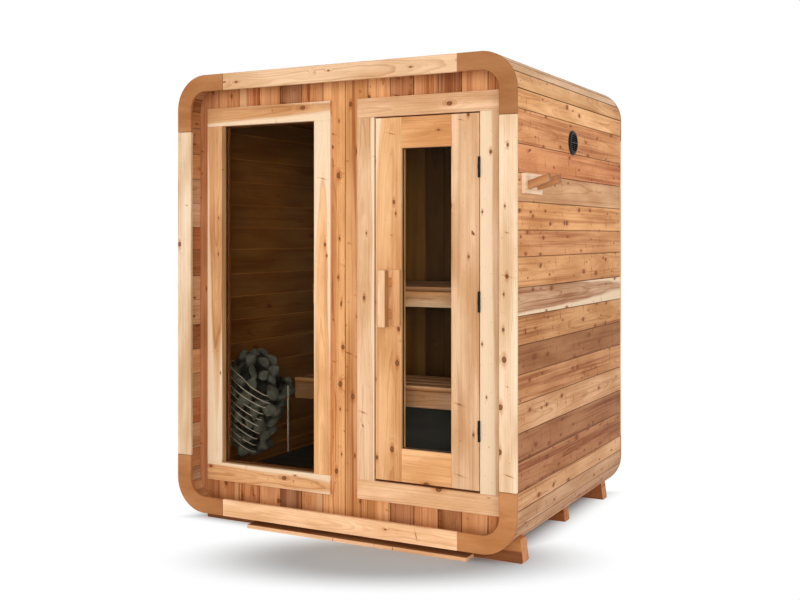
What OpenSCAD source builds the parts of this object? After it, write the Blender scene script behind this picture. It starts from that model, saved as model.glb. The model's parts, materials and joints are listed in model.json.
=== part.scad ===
// Cabin sauna: a rounded hull of horizontal cedar staves on three cradles,
// closed by board walls, with a tall fixed window and one glazed swing door.
//
// Axes: +X right, +Y to the back, +Z up, millimetres.
// Origin: on the ground, under the middle of the middle cradle.

/* [Hull] */
// Width of the hull over the staves
hull_w = 2000; // [1800:10:2600]
// Height of the hull over the staves
hull_h = 2382; // [2300:1:2900]
// Length of the staves, front to back
stave_len = 1662; // [1600:1:2400]
// Thickness of the staves
stave_t = 38; // [28:1:50]
// Outside radius of the hull's four long corners
corner_r = 182; // [150:1:240]
// Height of the hull's underside above the ground
ground_gap = 42; // [38:1:90]

/* [End rings] */
// Thickness of the trim rings on both ends
ring_t = 19; // [15:1:28]
// Width of the ring boards
ring_w = 89; // [70:1:110]
// Length of each leg of the rounded corner pieces
corner_leg = 305; // [250:5:360]

/* [End walls] */
// Distance from the front of the ring to the face of the front wall
front_recess = 146; // [110:1:220]
// Distance from the back of the ring to the face of the back wall
back_recess = 57; // [25:1:120]
// Thickness of the wall boards
wall_t = 38; // [28:1:50]
// Width of the flat trim around window and door
trim_w = 100; // [80:1:110]
// Thickness of the flat trim
trim_t = 19; // [15:1:28]
// Thickness of the lining boards in the openings
lining_t = 19; // [15:1:28]

/* [Window] */
// Distance from the hull's left side to the clear opening of the window
window_left = 205; // [180:5:240]
// Width of the clear opening of the window
window_w = 601; // [450:1:720]
// Height of the clear openings above the ground
opening_z = 295; // [230:1:330]
// Height of the clear openings
opening_h = 1861; // [1550:1:1880]
// Depth of the window lining
window_lining_d = 66; // [50:1:90]
// Thickness of the double glass
window_glass_t = 24; // [16:1:28]
// Distance from the wall's face to the window glass
window_glass_set = 20; // [10:1:24]
// Depth of the glass in its grooves
glass_bite = 8; // [5:1:12]

/* [Door] */
// Distance from the hull's right side to the hinge side of the door opening
door_right = 241; // [210:1:280]
// Width of the clear opening of the door
door_w = 590; // [490:1:620]
// Thickness of the door leaf
leaf_t = 44; // [38:1:48]
// Distance from the face of the trim to the face of the door leaf
leaf_set = 3; // [0:1:6]
// Gap between leaf and opening on the handle side
gap_handle = 8; // [5:0.5:10]
// Gap between leaf and opening on the hinge side
gap_hinge = 6; // [5:0.5:8]
// Gap between leaf and opening at the top
gap_top = 7; // [5:0.5:10]
// Gap between leaf and opening at the bottom
gap_bottom = 12; // [6:0.5:15]
// Gap between the back of the leaf and the door stop
gap_stop = 5; // [5:0.5:8]
// Width of the door's stiles
stile_w = 150; // [120:1:170]
// Height of the door's top rail
rail_top_h = 157; // [120:1:180]
// Height of the door's bottom rail
rail_bottom_h = 167; // [120:1:200]
// Thickness of the door glass
door_glass_t = 8; // [6:1:12]
// Distance from the face of the leaf to the door glass
door_glass_set = 14; // [10:1:18]

/* [Hinges] */
// Height of each hinge
hinge_h = 102; // [76:1:127]
// Height of the lowest hinge's middle above the bottom of the leaf
hinge_low = 292; // [150:1:350]
// Distance from the top of the leaf to the highest hinge's middle
hinge_high = 265; // [150:1:350]
// Outside radius of the hinge barrel
barrel_r = 5.5; // [5:0.5:7]
// Radius of the hinge pin
hinge_pin_r = 2.5; // [2:0.5:3]
// Distance from the hinge pin to the face of the trim
pin_stand = 8; // [7.5:0.5:12]
// Thickness of the hinge plates
hinge_plate_t = 2.5; // [2:0.5:3]
// Depth of the hinge plates along the leaf's edge
hinge_plate_d = 38; // [25:1:38]

/* [Handle] */
// Width of the handle's back plate
handle_plate_w = 118; // [80:1:130]
// Height of the handle
handle_h = 286; // [200:1:400]
// Thickness of the handle's back plate
handle_plate_t = 19; // [15:1:25]
// Side of the handle's square bar and blocks
handle_bar = 42; // [30:1:50]
// Length of the blocks between plate and bar
handle_block_l = 43; // [35:1:60]
// Height of the handle's middle above the bottom of the leaf
handle_rise = 928; // [800:1:1100]
// Distance from the leaf's handle-side edge to the back plate
handle_inset = 29; // [15:1:40]

/* [Side fittings] */
// Distance from the front of the ring to the middle of the vent
vent_y = 796; // [400:1:1300]
// Height of the vent's middle above the ground
vent_z = 2042; // [1900:1:2100]
// Outside radius of the vent's flange
vent_r = 65; // [55:1:75]
// Radius of the hole through the wall
vent_hole_r = 50; // [40:1:54]
// Thickness of the vent's flange
vent_flange_t = 12; // [8:1:18]
// Distance from the front of the ring to the coat rack
rack_y = 58; // [40:1:300]
// Length of the coat rack's board
rack_len = 236; // [200:1:400]
// Height of the coat rack's lower edge above the ground
rack_z = 1749; // [1500:1:1800]
// Height of the coat rack's board
rack_h = 98; // [80:1:120]
// Thickness of the coat rack's board
rack_t = 19; // [15:1:28]
// Side of the square pegs
peg_s = 38; // [25:1:42]
// Length of the pegs
peg_l = 118; // [80:1:150]
// Distance between the middles of the pegs
peg_pitch = 129; // [90:1:150]
// Upward slope of the pegs
peg_tilt = 18; // [0:1:30]

/* [Cradles] */
// Thickness of the cradles, front to back
cradle_t = 76; // [50:1:100]
// Distance from the front of the ring to the front cradle
front_cradle_set = 77; // [40:1:300]
// Distance from the hull's middle back to the middle cradle's middle
middle_cradle_set = 80; // [0:1:200]
// Distance from the back of the ring to the back cradle
back_cradle_set = 158; // [40:1:300]
// How far the front cradle reaches past the hull's right side
front_cradle_reach = 4; // [-60:1:80]
// How far the front cradle's plain left end reaches past the hull's left side
front_cradle_left = -144; // [-160:1:80]
// How far the middle cradle reaches past the hull's sides
middle_cradle_reach = -74; // [-120:1:80]
// How far the back cradle reaches past the hull's sides
back_cradle_reach = -40; // [-120:1:80]
// Height of the cradle ends
cradle_h = 115; // [100:1:150]
// How far the cradle ends lean in towards their top
cradle_lean = 15; // [0:1:30]
// Distance from the middle to the left end of the front plank
plank_left = 524; // [300:1:900]
// Distance from the middle to the right end of the front plank
plank_right = 749; // [300:1:900]
// Width of the front plank
plank_w = 89; // [60:1:100]
// Thickness of the front plank
plank_t = 19; // [15:1:28]

/* [Floor deck] */
// Height of the deck's top above the ground
deck_z = 180; // [150:1:200]
// Thickness of the deck
deck_t = 18; // [15:1:28]
// Width of the joists under the deck
joist_w = 38; // [28:1:50]

/* [Benches] */
// Height of the lower bench above the ground
lower_z = 745; // [600:1:800]
// Distance from the front of the ring to the lower bench
lower_y = 464; // [440:1:600]
// Gap between the stone basket and the end of the lower bench
bench_heater_gap = 14; // [10:1:200]
// Thickness of the dark board under the lower bench
kick_t = 18; // [12:1:30]
// Height of the upper bench above the ground
upper_z = 1255; // [1100:1:1350]
// Distance from the front of the ring to the upper bench
upper_y = 873; // [800:1:1000]
// How far the upper bench reaches left of the middle
upper_left = 678; // [500:1:940]
// Thickness of the bench slats
slat_t = 28; // [22:1:38]
// Width of the bench slats
slat_w = 89; // [60:1:110]
// Gap between the bench slats, at least
slat_gap = 12; // [6:1:20]
// Height of the boards along the bench fronts
apron_h = 89; // [60:1:110]
// Thickness of the boards along the bench fronts
apron_t = 28; // [22:1:38]
// How far the front slat stands out over its apron
bench_nose = 6; // [0:1:15]
// Width of the bearers under the slats
bearer_w = 38; // [28:1:50]
// Height of the bearers under the slats
bearer_h = 61; // [50:1:80]

/* [Heater] */
// Gap between the heater's steel back plate and the stone basket
heater_plate_gap = 18; // [10:1:60]
// Gap between the front wall and the stone basket
heater_wall_gap = 64; // [50:1:120]
// Height of the middle of the basket's foot above the ground
heater_z = 302; // [280:1:350]
// Length of the stone basket from its foot to its widest place
basket_h = 426; // [300:1:450]
// Radius of the stone basket at its widest place
basket_r = 190; // [150:1:230]
// How far the stone basket leans out from the wall, in degrees
basket_lean = 14; // [0:1:20]
// Height of the stones heaped above the widest place
heap_h = 187; // [100:1:250]
// How far the heap's peak stands back towards the wall
heap_back = 64; // [0:1:100]
// Thickness of the heater's steel back plate
heater_plate_t = 12; // [8:1:20]
// Width of the heater's steel back plate
heater_plate_w = 260; // [200:1:320]
// Radius of the upright steel rod on the stone basket
rod_r = 5; // [3:1:8]
// Height of the upright steel rod's lower end above the ground
rod_z = 325; // [250:1:400]
// Length of the upright steel rod
rod_h = 375; // [350:1:450]
// Place of the upright steel rod round the basket, in degrees from its right side
rod_turn = -5; // [-20:0.5:20]

/* [Hidden] */
$fn = 96;
// Clearance of curved and loose seats
seat = 0.3;
// Overshoot of cuts
cut = 1;
// Radius clearance of the hinge pins in their bores
pin_gap = 0.1;
// Clearance between the knuckles of a hinge
knuckle_gap = 1;

total_d = stave_len + 2 * ring_t;
origin_y = total_d / 2 + middle_cradle_set;
front_cradle_y = front_cradle_set;
middle_cradle_y = origin_y - cradle_t / 2;
back_cradle_y = total_d - back_cradle_set - cradle_t;
hull_top = ground_gap + hull_h;
inner_x = hull_w / 2 - stave_t;
inner_z0 = ground_gap + stave_t;
inner_z1 = hull_top - stave_t;
straight_x = hull_w / 2 - corner_r;
straight_z0 = ground_gap + corner_r;
straight_z1 = hull_top - corner_r;

opening_z1 = opening_z + opening_h;
window_x0 = window_left - hull_w / 2;
window_x1 = window_x0 + window_w;
door_x1 = hull_w / 2 - door_right;
door_x0 = door_x1 - door_w;
wall_y0 = front_recess;
wall_y1 = front_recess + wall_t;
trim_y0 = wall_y0 - trim_t;
back_wall_y1 = total_d - back_recess;
back_wall_y0 = back_wall_y1 - wall_t;

leaf_x0 = door_x0 + gap_handle;
leaf_x1 = door_x1 - gap_hinge;
leaf_z0 = opening_z + gap_bottom;
leaf_z1 = opening_z1 - gap_top;
leaf_y0 = trim_y0 + leaf_set;
leaf_y1 = leaf_y0 + leaf_t;
stop_y0 = leaf_y1 + gap_stop;
pane_x0 = leaf_x0 + stile_w;
pane_x1 = leaf_x1 - stile_w;
pane_z0 = leaf_z0 + rail_bottom_h;
pane_z1 = leaf_z1 - rail_top_h;
pane_y0 = leaf_y0 + door_glass_set;

pin_x = door_x1 - gap_hinge / 2;
pin_y = trim_y0 - pin_stand;
// Heights of the undersides of the three hinges
hinge_zs = [leaf_z0 + hinge_low - hinge_h / 2,
            (leaf_z0 + leaf_z1 - hinge_h) / 2,
            leaf_z1 - hinge_high - hinge_h / 2];
// Depth of the jamb lining, which carries the stop behind the leaf
jamb_y1 = stop_y0 + lining_t;
// How far the stop stands in behind the leaf
stop_in = gap_handle + 10;

vent_spigot_l = stave_t + 6;
peg_rise = rack_z + rack_h / 2 - 8;
bench_x1 = inner_x - seat;
apron_end = bench_nose + apron_t;
heater_x = heater_plate_t + heater_plate_gap + basket_r - inner_x;
heater_y = wall_y1 + heater_wall_gap + basket_r;
lower_x0 = heater_x + basket_r + bench_heater_gap;
shoulder_z = heater_z + basket_h * cos(basket_lean);

// ---- Shared shapes -------------------------------------------------------

// Moves a shape from the ring's front plane to the part's origin
module from_front() {
    translate([0, -origin_y, 0]) children();
}

// A box between two corners
module block(p, q) {
    translate(p) cube(q - p);
}

// A flat outline in X and Z, made solid from y0 to y1
module along_y(y0, y1) {
    translate([0, y1, 0]) rotate([90, 0, 0]) linear_extrude(y1 - y0) children();
}

// The hull's cross-section, drawn in by a distance
module hull_outline(inset) {
    half = hull_w / 2 - inset;
    r = corner_r - inset;
    z0 = ground_gap + inset;
    z1 = hull_top - inset;
    translate([-half, z0 + r]) square([2 * half, z1 - z0 - 2 * r]);
    translate([-half + r, z0]) square([2 * (half - r), z1 - z0]);
    for (x = [-half + r, half - r], z = [z0 + r, z1 - r])
        translate([x, z]) circle(r);
}

// One quarter of the curved corner, turned by a number of right angles
module corner_stave(x, z, turns) {
    along_y(ring_t, ring_t + stave_len)
        translate([x, z]) rotate(90 * turns) difference() {
            intersection() {
                circle(corner_r);
                square(corner_r + cut);
            }
            circle(corner_r - stave_t);
        }
}

// The four straight boards of an end ring
module ring_boards(y0) {
    edge = hull_w / 2;
    run_x = edge - corner_leg;
    run_z0 = ground_gap + corner_leg;
    run_z1 = hull_top - corner_leg;
    block([-run_x, y0, hull_top - ring_w], [run_x, y0 + ring_t, hull_top]);
    block([-run_x, y0, ground_gap], [run_x, y0 + ring_t, ground_gap + ring_w]);
    for (x = [-edge, edge - ring_w])
        block([x, y0, run_z0], [x + ring_w, y0 + ring_t, run_z1]);
}

// The four rounded corner pieces of an end ring
module ring_corners(y0) {
    for (sx = [-1, 1], z = [ground_gap, hull_top - corner_leg])
        along_y(y0, y0 + ring_t) intersection() {
            difference() {
                hull_outline(0);
                hull_outline(ring_w);
            }
            translate([sx * (hull_w / 2 - corner_leg / 2) - corner_leg / 2, z])
                square(corner_leg);
        }
}

// A piece of an end wall, cut to the inside of the hull
module wall_piece(y0, x0, x1, z0, z1) {
    along_y(y0, y0 + wall_t) intersection() {
        hull_outline(stave_t + seat);
        translate([x0, z0]) square([x1 - x0, z1 - z0]);
    }
}

// A frame around a clear opening, flat in X and Z
module frame_outline(x0, x1, z0, z1, w) {
    difference() {
        translate([x0 - w, z0 - w]) square([x1 - x0 + 2 * w, z1 - z0 + 2 * w]);
        translate([x0, z0]) square([x1 - x0, z1 - z0]);
    }
}

// The boards over and under an opening
module trim_rails(x0, x1) {
    for (z = [opening_z - trim_w, opening_z1])
        block([x0 - trim_w, trim_y0, z], [x1 + trim_w, wall_y0, z + trim_w]);
}

// The boards on both sides of an opening
module trim_sides(x0, x1) {
    for (x = [x0 - trim_w, x1])
        block([x, trim_y0, opening_z], [x + trim_w, wall_y0, opening_z1]);
}

// Places its children at the bottom of each hinge
module at_hinges() {
    for (z = hinge_zs) translate([pin_x, pin_y, z]) children();
}

// The pockets that take the hinge plates on one side of the gap
module hinge_pockets(x) {
    for (z = hinge_zs)
        block([x, trim_y0 - cut, z],
              [x + hinge_plate_t, leaf_y0 + hinge_plate_d, z + hinge_h]);
}

// A piece of a door leaf between two corners, with the groove for the glass
module leaf_piece(x0, x1, z0, z1) {
    difference() {
        block([x0, leaf_y0, z0], [x1, leaf_y1, z1]);
        block([pane_x0 - glass_bite, pane_y0, pane_z0 - glass_bite],
              [pane_x1 + glass_bite, pane_y0 + door_glass_t, pane_z1 + glass_bite]);
    }
}

// A cradle cut to the hull's underside, from its reaches past the hull's sides
// and the lean of its left end
module cradle(y, left_reach, right_reach, left_lean) {
    left = hull_w / 2 + left_reach;
    right = hull_w / 2 + right_reach;
    along_y(y, y + cradle_t) difference() {
        polygon([[-left, 0], [right, 0], [right - cradle_lean, cradle_h],
                 [-left + left_lean, cradle_h]]);
        hull_outline(-seat);
    }
}

// Slats along X that fill a bench from its front to its back
module slats(x0, x1, y0, y1, z) {
    count = floor((y1 - y0 + slat_gap) / (slat_w + slat_gap));
    pitch = (y1 - y0 - slat_w) / max(1, count - 1);
    for (i = [0 : count - 1])
        block([x0, y0 + i * pitch, z - slat_t], [x1, y0 + i * pitch + slat_w, z]);
}

// ---- Hull ----------------------------------------------------------------

module floor() {
    color("#8f6a4a") from_front()
        block([-straight_x, ring_t, ground_gap],
              [straight_x, ring_t + stave_len, inner_z0]);
}

module roof() {
    color("#d9b184") from_front()
        block([-straight_x, ring_t, inner_z1],
              [straight_x, ring_t + stave_len, hull_top]);
}

module left_wall() {
    color("#c98f60") from_front()
        block([-hull_w / 2, ring_t, straight_z0],
              [-inner_x, ring_t + stave_len, straight_z1]);
}

module right_wall() {
    color("#c98f60") from_front() difference() {
        block([inner_x, ring_t, straight_z0],
              [hull_w / 2, ring_t + stave_len, straight_z1]);
        translate([inner_x - cut, vent_y, vent_z]) rotate([0, 90, 0])
            cylinder(h = stave_t + 2 * cut, r = vent_hole_r);
    }
}

module upper_corners() {
    color("#dbb587") from_front() {
        corner_stave(straight_x, straight_z1, 0);
        corner_stave(-straight_x, straight_z1, 1);
    }
}

module lower_corners() {
    color("#a88a70") from_front() {
        corner_stave(-straight_x, straight_z0, 2);
        corner_stave(straight_x, straight_z0, 3);
    }
}

// ---- End rings -----------------------------------------------------------

module front_ring_boards() {
    color("#e3b98c") from_front() ring_boards(0);
}

module front_ring_corners() {
    color("#b5763f") from_front() ring_corners(0);
}

module back_ring_boards() {
    color("#e3b98c") from_front() ring_boards(total_d - ring_t);
}

module back_ring_corners() {
    color("#b5763f") from_front() ring_corners(total_d - ring_t);
}

// ---- End walls -----------------------------------------------------------

module front_wall_left() {
    color("#cf8a58") from_front()
        wall_piece(wall_y0, -inner_x, window_x0 - lining_t, inner_z0, inner_z1);
}

module front_wall_over_window() {
    color("#cf8a58") from_front()
        wall_piece(wall_y0, window_x0 - lining_t, window_x1 + lining_t,
                   opening_z1 + lining_t, inner_z1);
}

module front_wall_under_window() {
    color("#cf8a58") from_front()
        wall_piece(wall_y0, window_x0 - lining_t, window_x1 + lining_t,
                   inner_z0, opening_z - lining_t);
}

module front_wall_middle() {
    color("#cf8a58") from_front()
        wall_piece(wall_y0, window_x1 + lining_t, door_x0 - lining_t, inner_z0, inner_z1);
}

module front_wall_over_door() {
    color("#cf8a58") from_front()
        wall_piece(wall_y0, door_x0 - lining_t, door_x1 + lining_t,
                   opening_z1 + lining_t, inner_z1);
}

module front_wall_under_door() {
    color("#cf8a58") from_front()
        wall_piece(wall_y0, door_x0 - lining_t, door_x1 + lining_t,
                   inner_z0, opening_z - lining_t);
}

module front_wall_right() {
    color("#cf8a58") from_front()
        wall_piece(wall_y0, door_x1 + lining_t, inner_x, inner_z0, inner_z1);
}

module back_wall() {
    color("#cf8a58") from_front()
        wall_piece(back_wall_y0, -inner_x, inner_x, inner_z0, inner_z1);
}

// ---- Window --------------------------------------------------------------

module window_trim_rails() {
    color("#dfa676") from_front() trim_rails(window_x0, window_x1);
}

module window_trim_sides() {
    color("#d9985f") from_front() trim_sides(window_x0, window_x1);
}

module window_lining() {
    glass_y0 = wall_y0 + window_glass_set;
    color("#a8784a") from_front() difference() {
        along_y(wall_y0, wall_y0 + window_lining_d)
            frame_outline(window_x0, window_x1, opening_z, opening_z1, lining_t);
        block([window_x0 - glass_bite, glass_y0, opening_z - glass_bite],
              [window_x1 + glass_bite, glass_y0 + window_glass_t,
               opening_z1 + glass_bite]);
    }
}

module window_glass() {
    glass_y0 = wall_y0 + window_glass_set;
    bite = glass_bite - seat;
    color("#33271d") from_front()
        block([window_x0 - bite, glass_y0 + seat, opening_z - bite],
              [window_x1 + bite, glass_y0 + window_glass_t - seat, opening_z1 + bite]);
}

// ---- Door frame ----------------------------------------------------------

module door_trim_rails() {
    color("#dfa676") from_front() trim_rails(door_x0, door_x1);
}

module door_trim_sides() {
    color("#d9985f") from_front() difference() {
        trim_sides(door_x0, door_x1);
        hinge_pockets(door_x1);
    }
}

// The lining of the doorway, with the stop that the leaf closes against
module door_jamb() {
    color("#a8784a") from_front() difference() {
        union() {
            along_y(wall_y0, jamb_y1)
                frame_outline(door_x0, door_x1, opening_z, opening_z1, lining_t);
            along_y(stop_y0, jamb_y1)
                frame_outline(door_x0 + stop_in, door_x1 - stop_in,
                              opening_z + stop_in, opening_z1 - stop_in, stop_in);
        }
        hinge_pockets(door_x1);
    }
}

// The fixed halves of the hinges: plate, lower and upper knuckle, and pin
module jamb_hinges() {
    third = hinge_h / 3;
    color("#2b2b2b") from_front() at_hinges() {
        difference() {
            block([gap_hinge / 2, -barrel_r / 2, 0],
                  [gap_hinge / 2 + hinge_plate_t,
                   leaf_y0 + hinge_plate_d - pin_y - seat, hinge_h]);
            translate([0, 0, third])
                cylinder(h = third, r = barrel_r + knuckle_gap);
        }
        cylinder(h = third, r = barrel_r);
        translate([0, 0, 2 * third]) cylinder(h = third, r = barrel_r);
        cylinder(h = hinge_h, r = hinge_pin_r);
    }
}

// ---- Door leaf -----------------------------------------------------------

module door_stile_left() {
    color("#d9924f") from_front()
        leaf_piece(leaf_x0, pane_x0, leaf_z0, leaf_z1);
}

module door_stile_right() {
    color("#dfa05c") from_front() difference() {
        leaf_piece(pane_x1, leaf_x1, leaf_z0, leaf_z1);
        hinge_pockets(leaf_x1 - hinge_plate_t);
    }
}

module door_rail_top() {
    color("#dba065") from_front()
        leaf_piece(pane_x0, pane_x1, pane_z1, leaf_z1);
}

module door_rail_bottom() {
    color("#dba065") from_front()
        leaf_piece(pane_x0, pane_x1, leaf_z0, pane_z0);
}

module door_glass() {
    bite = glass_bite - seat;
    color("#33271d") from_front()
        block([pane_x0 - bite, pane_y0 + seat, pane_z0 - bite],
              [pane_x1 + bite, pane_y0 + door_glass_t - seat, pane_z1 + bite]);
}

module door_handle() {
    plate_x0 = leaf_x0 + handle_inset;
    bar_x0 = plate_x0 + (handle_plate_w - handle_bar) / 2;
    z0 = leaf_z0 + handle_rise - handle_h / 2;
    plate_y0 = leaf_y0 - handle_plate_t;
    bar_y1 = plate_y0 - handle_block_l;
    color("#c98547") from_front() {
        block([plate_x0, plate_y0, z0],
              [plate_x0 + handle_plate_w, leaf_y0, z0 + handle_h]);
        block([bar_x0, bar_y1 - handle_bar, z0],
              [bar_x0 + handle_bar, bar_y1, z0 + handle_h]);
        for (z = [z0 + handle_bar, z0 + handle_h - 2 * handle_bar])
            block([bar_x0, bar_y1 - cut, z],
                  [bar_x0 + handle_bar, plate_y0 + cut, z + handle_bar]);
    }
}

// The moving halves of the hinges: plate and middle knuckle
module door_hinges() {
    third = hinge_h / 3;
    color("#2b2b2b") from_front() at_hinges() difference() {
        union() {
            difference() {
                block([-gap_hinge / 2 - hinge_plate_t, -barrel_r / 2, 0],
                      [-gap_hinge / 2, leaf_y0 + hinge_plate_d - pin_y - seat, hinge_h]);
                for (z = [-cut, 2 * third - knuckle_gap])
                    translate([0, 0, z])
                        cylinder(h = third + knuckle_gap + cut,
                                 r = barrel_r + knuckle_gap);
            }
            translate([0, 0, third + knuckle_gap])
                cylinder(h = third - 2 * knuckle_gap, r = barrel_r);
        }
        translate([0, 0, -cut])
            cylinder(h = hinge_h + 2 * cut, r = hinge_pin_r + pin_gap);
    }
}

// ---- Side fittings -------------------------------------------------------

module vent_grille() {
    spigot_r = vent_hole_r - seat;
    bore_r = vent_hole_r - 4;
    color("#161616") from_front()
        translate([hull_w / 2, vent_y, vent_z]) rotate([0, 90, 0]) difference() {
            union() {
                cylinder(h = vent_flange_t, r = vent_r);
                translate([0, 0, -vent_spigot_l])
                    cylinder(h = vent_spigot_l + cut, r = spigot_r);
            }
            translate([0, 0, -vent_spigot_l - cut])
                cylinder(h = vent_spigot_l + cut + vent_flange_t / 2, r = bore_r);
        }
}

module coat_rack_board() {
    color("#e2b07c") from_front()
        block([hull_w / 2, rack_y, rack_z],
              [hull_w / 2 + rack_t, rack_y + rack_len, rack_z + rack_h]);
}

// Square pegs that lean upward, with plumb ends on the board
module coat_rack_pegs() {
    foot = peg_s / cos(peg_tilt);
    run = peg_l * cos(peg_tilt);
    rise = peg_l * sin(peg_tilt);
    mid_y = rack_y + rack_len / 2;
    color("#c77f43") from_front()
        for (y = [mid_y - peg_pitch / 2, mid_y + peg_pitch / 2])
            translate([hull_w / 2 + rack_t, 0, peg_rise - foot / 2])
                along_y(y - peg_s / 2, y + peg_s / 2)
                    polygon([[0, 0], [run, rise],
                             [run - peg_s * sin(peg_tilt), rise + peg_s * cos(peg_tilt)],
                             [0, foot]]);
}

// ---- Cradles -------------------------------------------------------------

module cradle_front() {
    color("#a8713f") from_front()
        cradle(front_cradle_y, front_cradle_left, front_cradle_reach, 0);
}

module cradle_middle() {
    color("#a8713f") from_front()
        cradle(middle_cradle_y, middle_cradle_reach, middle_cradle_reach, cradle_lean);
}

module cradle_back() {
    color("#a8713f") from_front()
        cradle(back_cradle_y, back_cradle_reach, back_cradle_reach, cradle_lean);
}

module front_plank() {
    color("#cf9a63") from_front()
        block([-plank_left, front_cradle_y - plank_w, 0],
              [plank_right, front_cradle_y, plank_t]);
}

// ---- Inside --------------------------------------------------------------

// Flat deck between the end walls, cut to the curve of the lower corners
module floor_deck() {
    color("#3a3a38") from_front()
        along_y(wall_y1 + seat, back_wall_y0 - seat) intersection() {
            hull_outline(stave_t + seat);
            translate([-inner_x, deck_z - deck_t]) square([2 * inner_x, deck_t]);
        }
}

module floor_joists() {
    color("#8a6a4c") from_front()
        for (x = [-straight_x + joist_w, -joist_w / 2, straight_x - 2 * joist_w])
            block([x, wall_y1 + seat, inner_z0],
                  [x + joist_w, back_wall_y0 - seat, deck_z - deck_t]);
}

module upper_bench() {
    color("#dba065") from_front()
        slats(-upper_left, bench_x1, upper_y, back_wall_y0 - seat, upper_z);
}

module lower_bench() {
    color("#dba065") from_front()
        slats(lower_x0, bench_x1, lower_y, upper_y, lower_z);
}

module bench_aprons() {
    color("#d08a4c") from_front() {
        block([-upper_left, upper_y + bench_nose, upper_z - slat_t - apron_h],
              [bench_x1, upper_y + apron_end, upper_z - slat_t]);
        block([lower_x0, lower_y + bench_nose, lower_z - slat_t - apron_h],
              [bench_x1, lower_y + apron_end, lower_z - slat_t]);
    }
}

// Bearers along Y, with a leg under each bench's free left end
module bench_bearers() {
    upper_top = upper_z - slat_t;
    lower_top = lower_z - slat_t;
    color("#b9824f") from_front() {
        for (x = [-upper_left, -bearer_w / 2, bench_x1 - bearer_w])
            block([x, upper_y + apron_end, upper_top - bearer_h],
                  [x + bearer_w, back_wall_y0 - seat, upper_top]);
        for (x = [lower_x0, bench_x1 - bearer_w])
            block([x, lower_y + apron_end, lower_top - bearer_h],
                  [x + bearer_w, upper_y + slat_w, lower_top]);
        block([lower_x0, upper_y, deck_z],
              [lower_x0 + bearer_w, upper_y + slat_w, lower_top - bearer_h]);
        block([-upper_left, upper_y + slat_w, deck_z],
              [-upper_left + bearer_w, upper_y + 2 * slat_w, upper_top - bearer_h]);
    }
}

// The dark board that closes the space under the back of the lower bench
module kick_board() {
    color("#2c2d29") from_front()
        block([lower_x0 + bearer_w + seat, upper_y + slat_w - kick_t, deck_z],
              [bench_x1 - bearer_w - seat, upper_y + slat_w, lower_z - slat_t]);
}

// The leaning basket and the heap on it, cut straight at the wall, grown by a clearance
module heater_drop(grow) {
    back = heater_x - basket_r - grow;
    intersection() {
        union() {
            translate([heater_x, heater_y, shoulder_z]) rotate([0, basket_lean, 0])
                rotate_extrude() polygon([
                    [0, -basket_h - grow],
                    [basket_r * 0.52 + grow, -basket_h - grow],
                    [basket_r * 0.7 + grow, -basket_h * 0.87],
                    [basket_r * 0.74 + grow, -basket_h * 0.66],
                    [basket_r * 0.82 + grow, -basket_h * 0.41],
                    [basket_r * 0.97 + grow, -basket_h * 0.12],
                    [basket_r + grow, 0],
                    [basket_r * 0.8 + grow, heap_h * 0.15 + grow],
                    [0, heap_h * 0.15 + grow]
                ]);
            translate([heater_x - heap_back, heater_y, shoulder_z])
                rotate_extrude() polygon([
                    [0, -heap_h * 0.4],
                    [basket_r * 0.79 + grow, -heap_h * 0.4],
                    [basket_r * 0.89 + grow, 0],
                    [basket_r * 0.79 + grow, heap_h * 0.45],
                    [basket_r * 0.5 + grow, heap_h * 0.8],
                    [0, heap_h + grow]
                ]);
        }
        block([back, heater_y - 2 * basket_r, 0],
              [back + 3 * basket_r, heater_y + 2 * basket_r, shoulder_z + 2 * heap_h]);
    }
}

// The stones in their basket, as one closed body
module heater_stones() {
    color("#8d8f8a") from_front() heater_drop(0);
}

// The steel plate on the left wall, with the arm that carries the basket
module heater_plate() {
    wide = heater_plate_w / 2;
    color("#3c3c3c") from_front() difference() {
        union() {
            block([-inner_x, heater_y - wide, heater_z + basket_h * 0.3],
                  [-inner_x + heater_plate_t, heater_y + wide, heater_z + basket_h * 0.9]);
            block([-inner_x, heater_y - wide / 2, heater_z + basket_h * 0.35],
                  [heater_x, heater_y + wide / 2, heater_z + basket_h * 0.5]);
        }
        heater_drop(seat);
    }
}

// The upright rod that ends at the basket's widest place
module heater_rod() {
    reach = basket_r * cos(basket_lean) + seat + rod_r;
    color("#b8b8b4") from_front()
        translate([heater_x, heater_y, rod_z]) rotate([0, 0, rod_turn])
            translate([reach, 0, 0]) cylinder(h = rod_h, r = rod_r);
}

floor();
roof();
left_wall();
right_wall();
upper_corners();
lower_corners();
front_ring_boards();
front_ring_corners();
back_ring_boards();
back_ring_corners();
front_wall_left();
front_wall_over_window();
front_wall_under_window();
front_wall_middle();
front_wall_over_door();
front_wall_under_door();
front_wall_right();
back_wall();
window_trim_rails();
window_trim_sides();
window_lining();
window_glass();
door_trim_rails();
door_trim_sides();
door_jamb();
jamb_hinges();
door_stile_left();
door_stile_right();
door_rail_top();
door_rail_bottom();
door_glass();
door_handle();
door_hinges();
vent_grille();
coat_rack_board();
coat_rack_pegs();
cradle_front();
cradle_middle();
cradle_back();
front_plank();
floor_deck();
floor_joists();
upper_bench();
lower_bench();
bench_aprons();
bench_bearers();
kick_board();
heater_stones();
heater_plate();
heater_rod();
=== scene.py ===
import json
import math
import random

import bmesh
import bpy
from mathutils import Matrix, Vector

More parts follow.
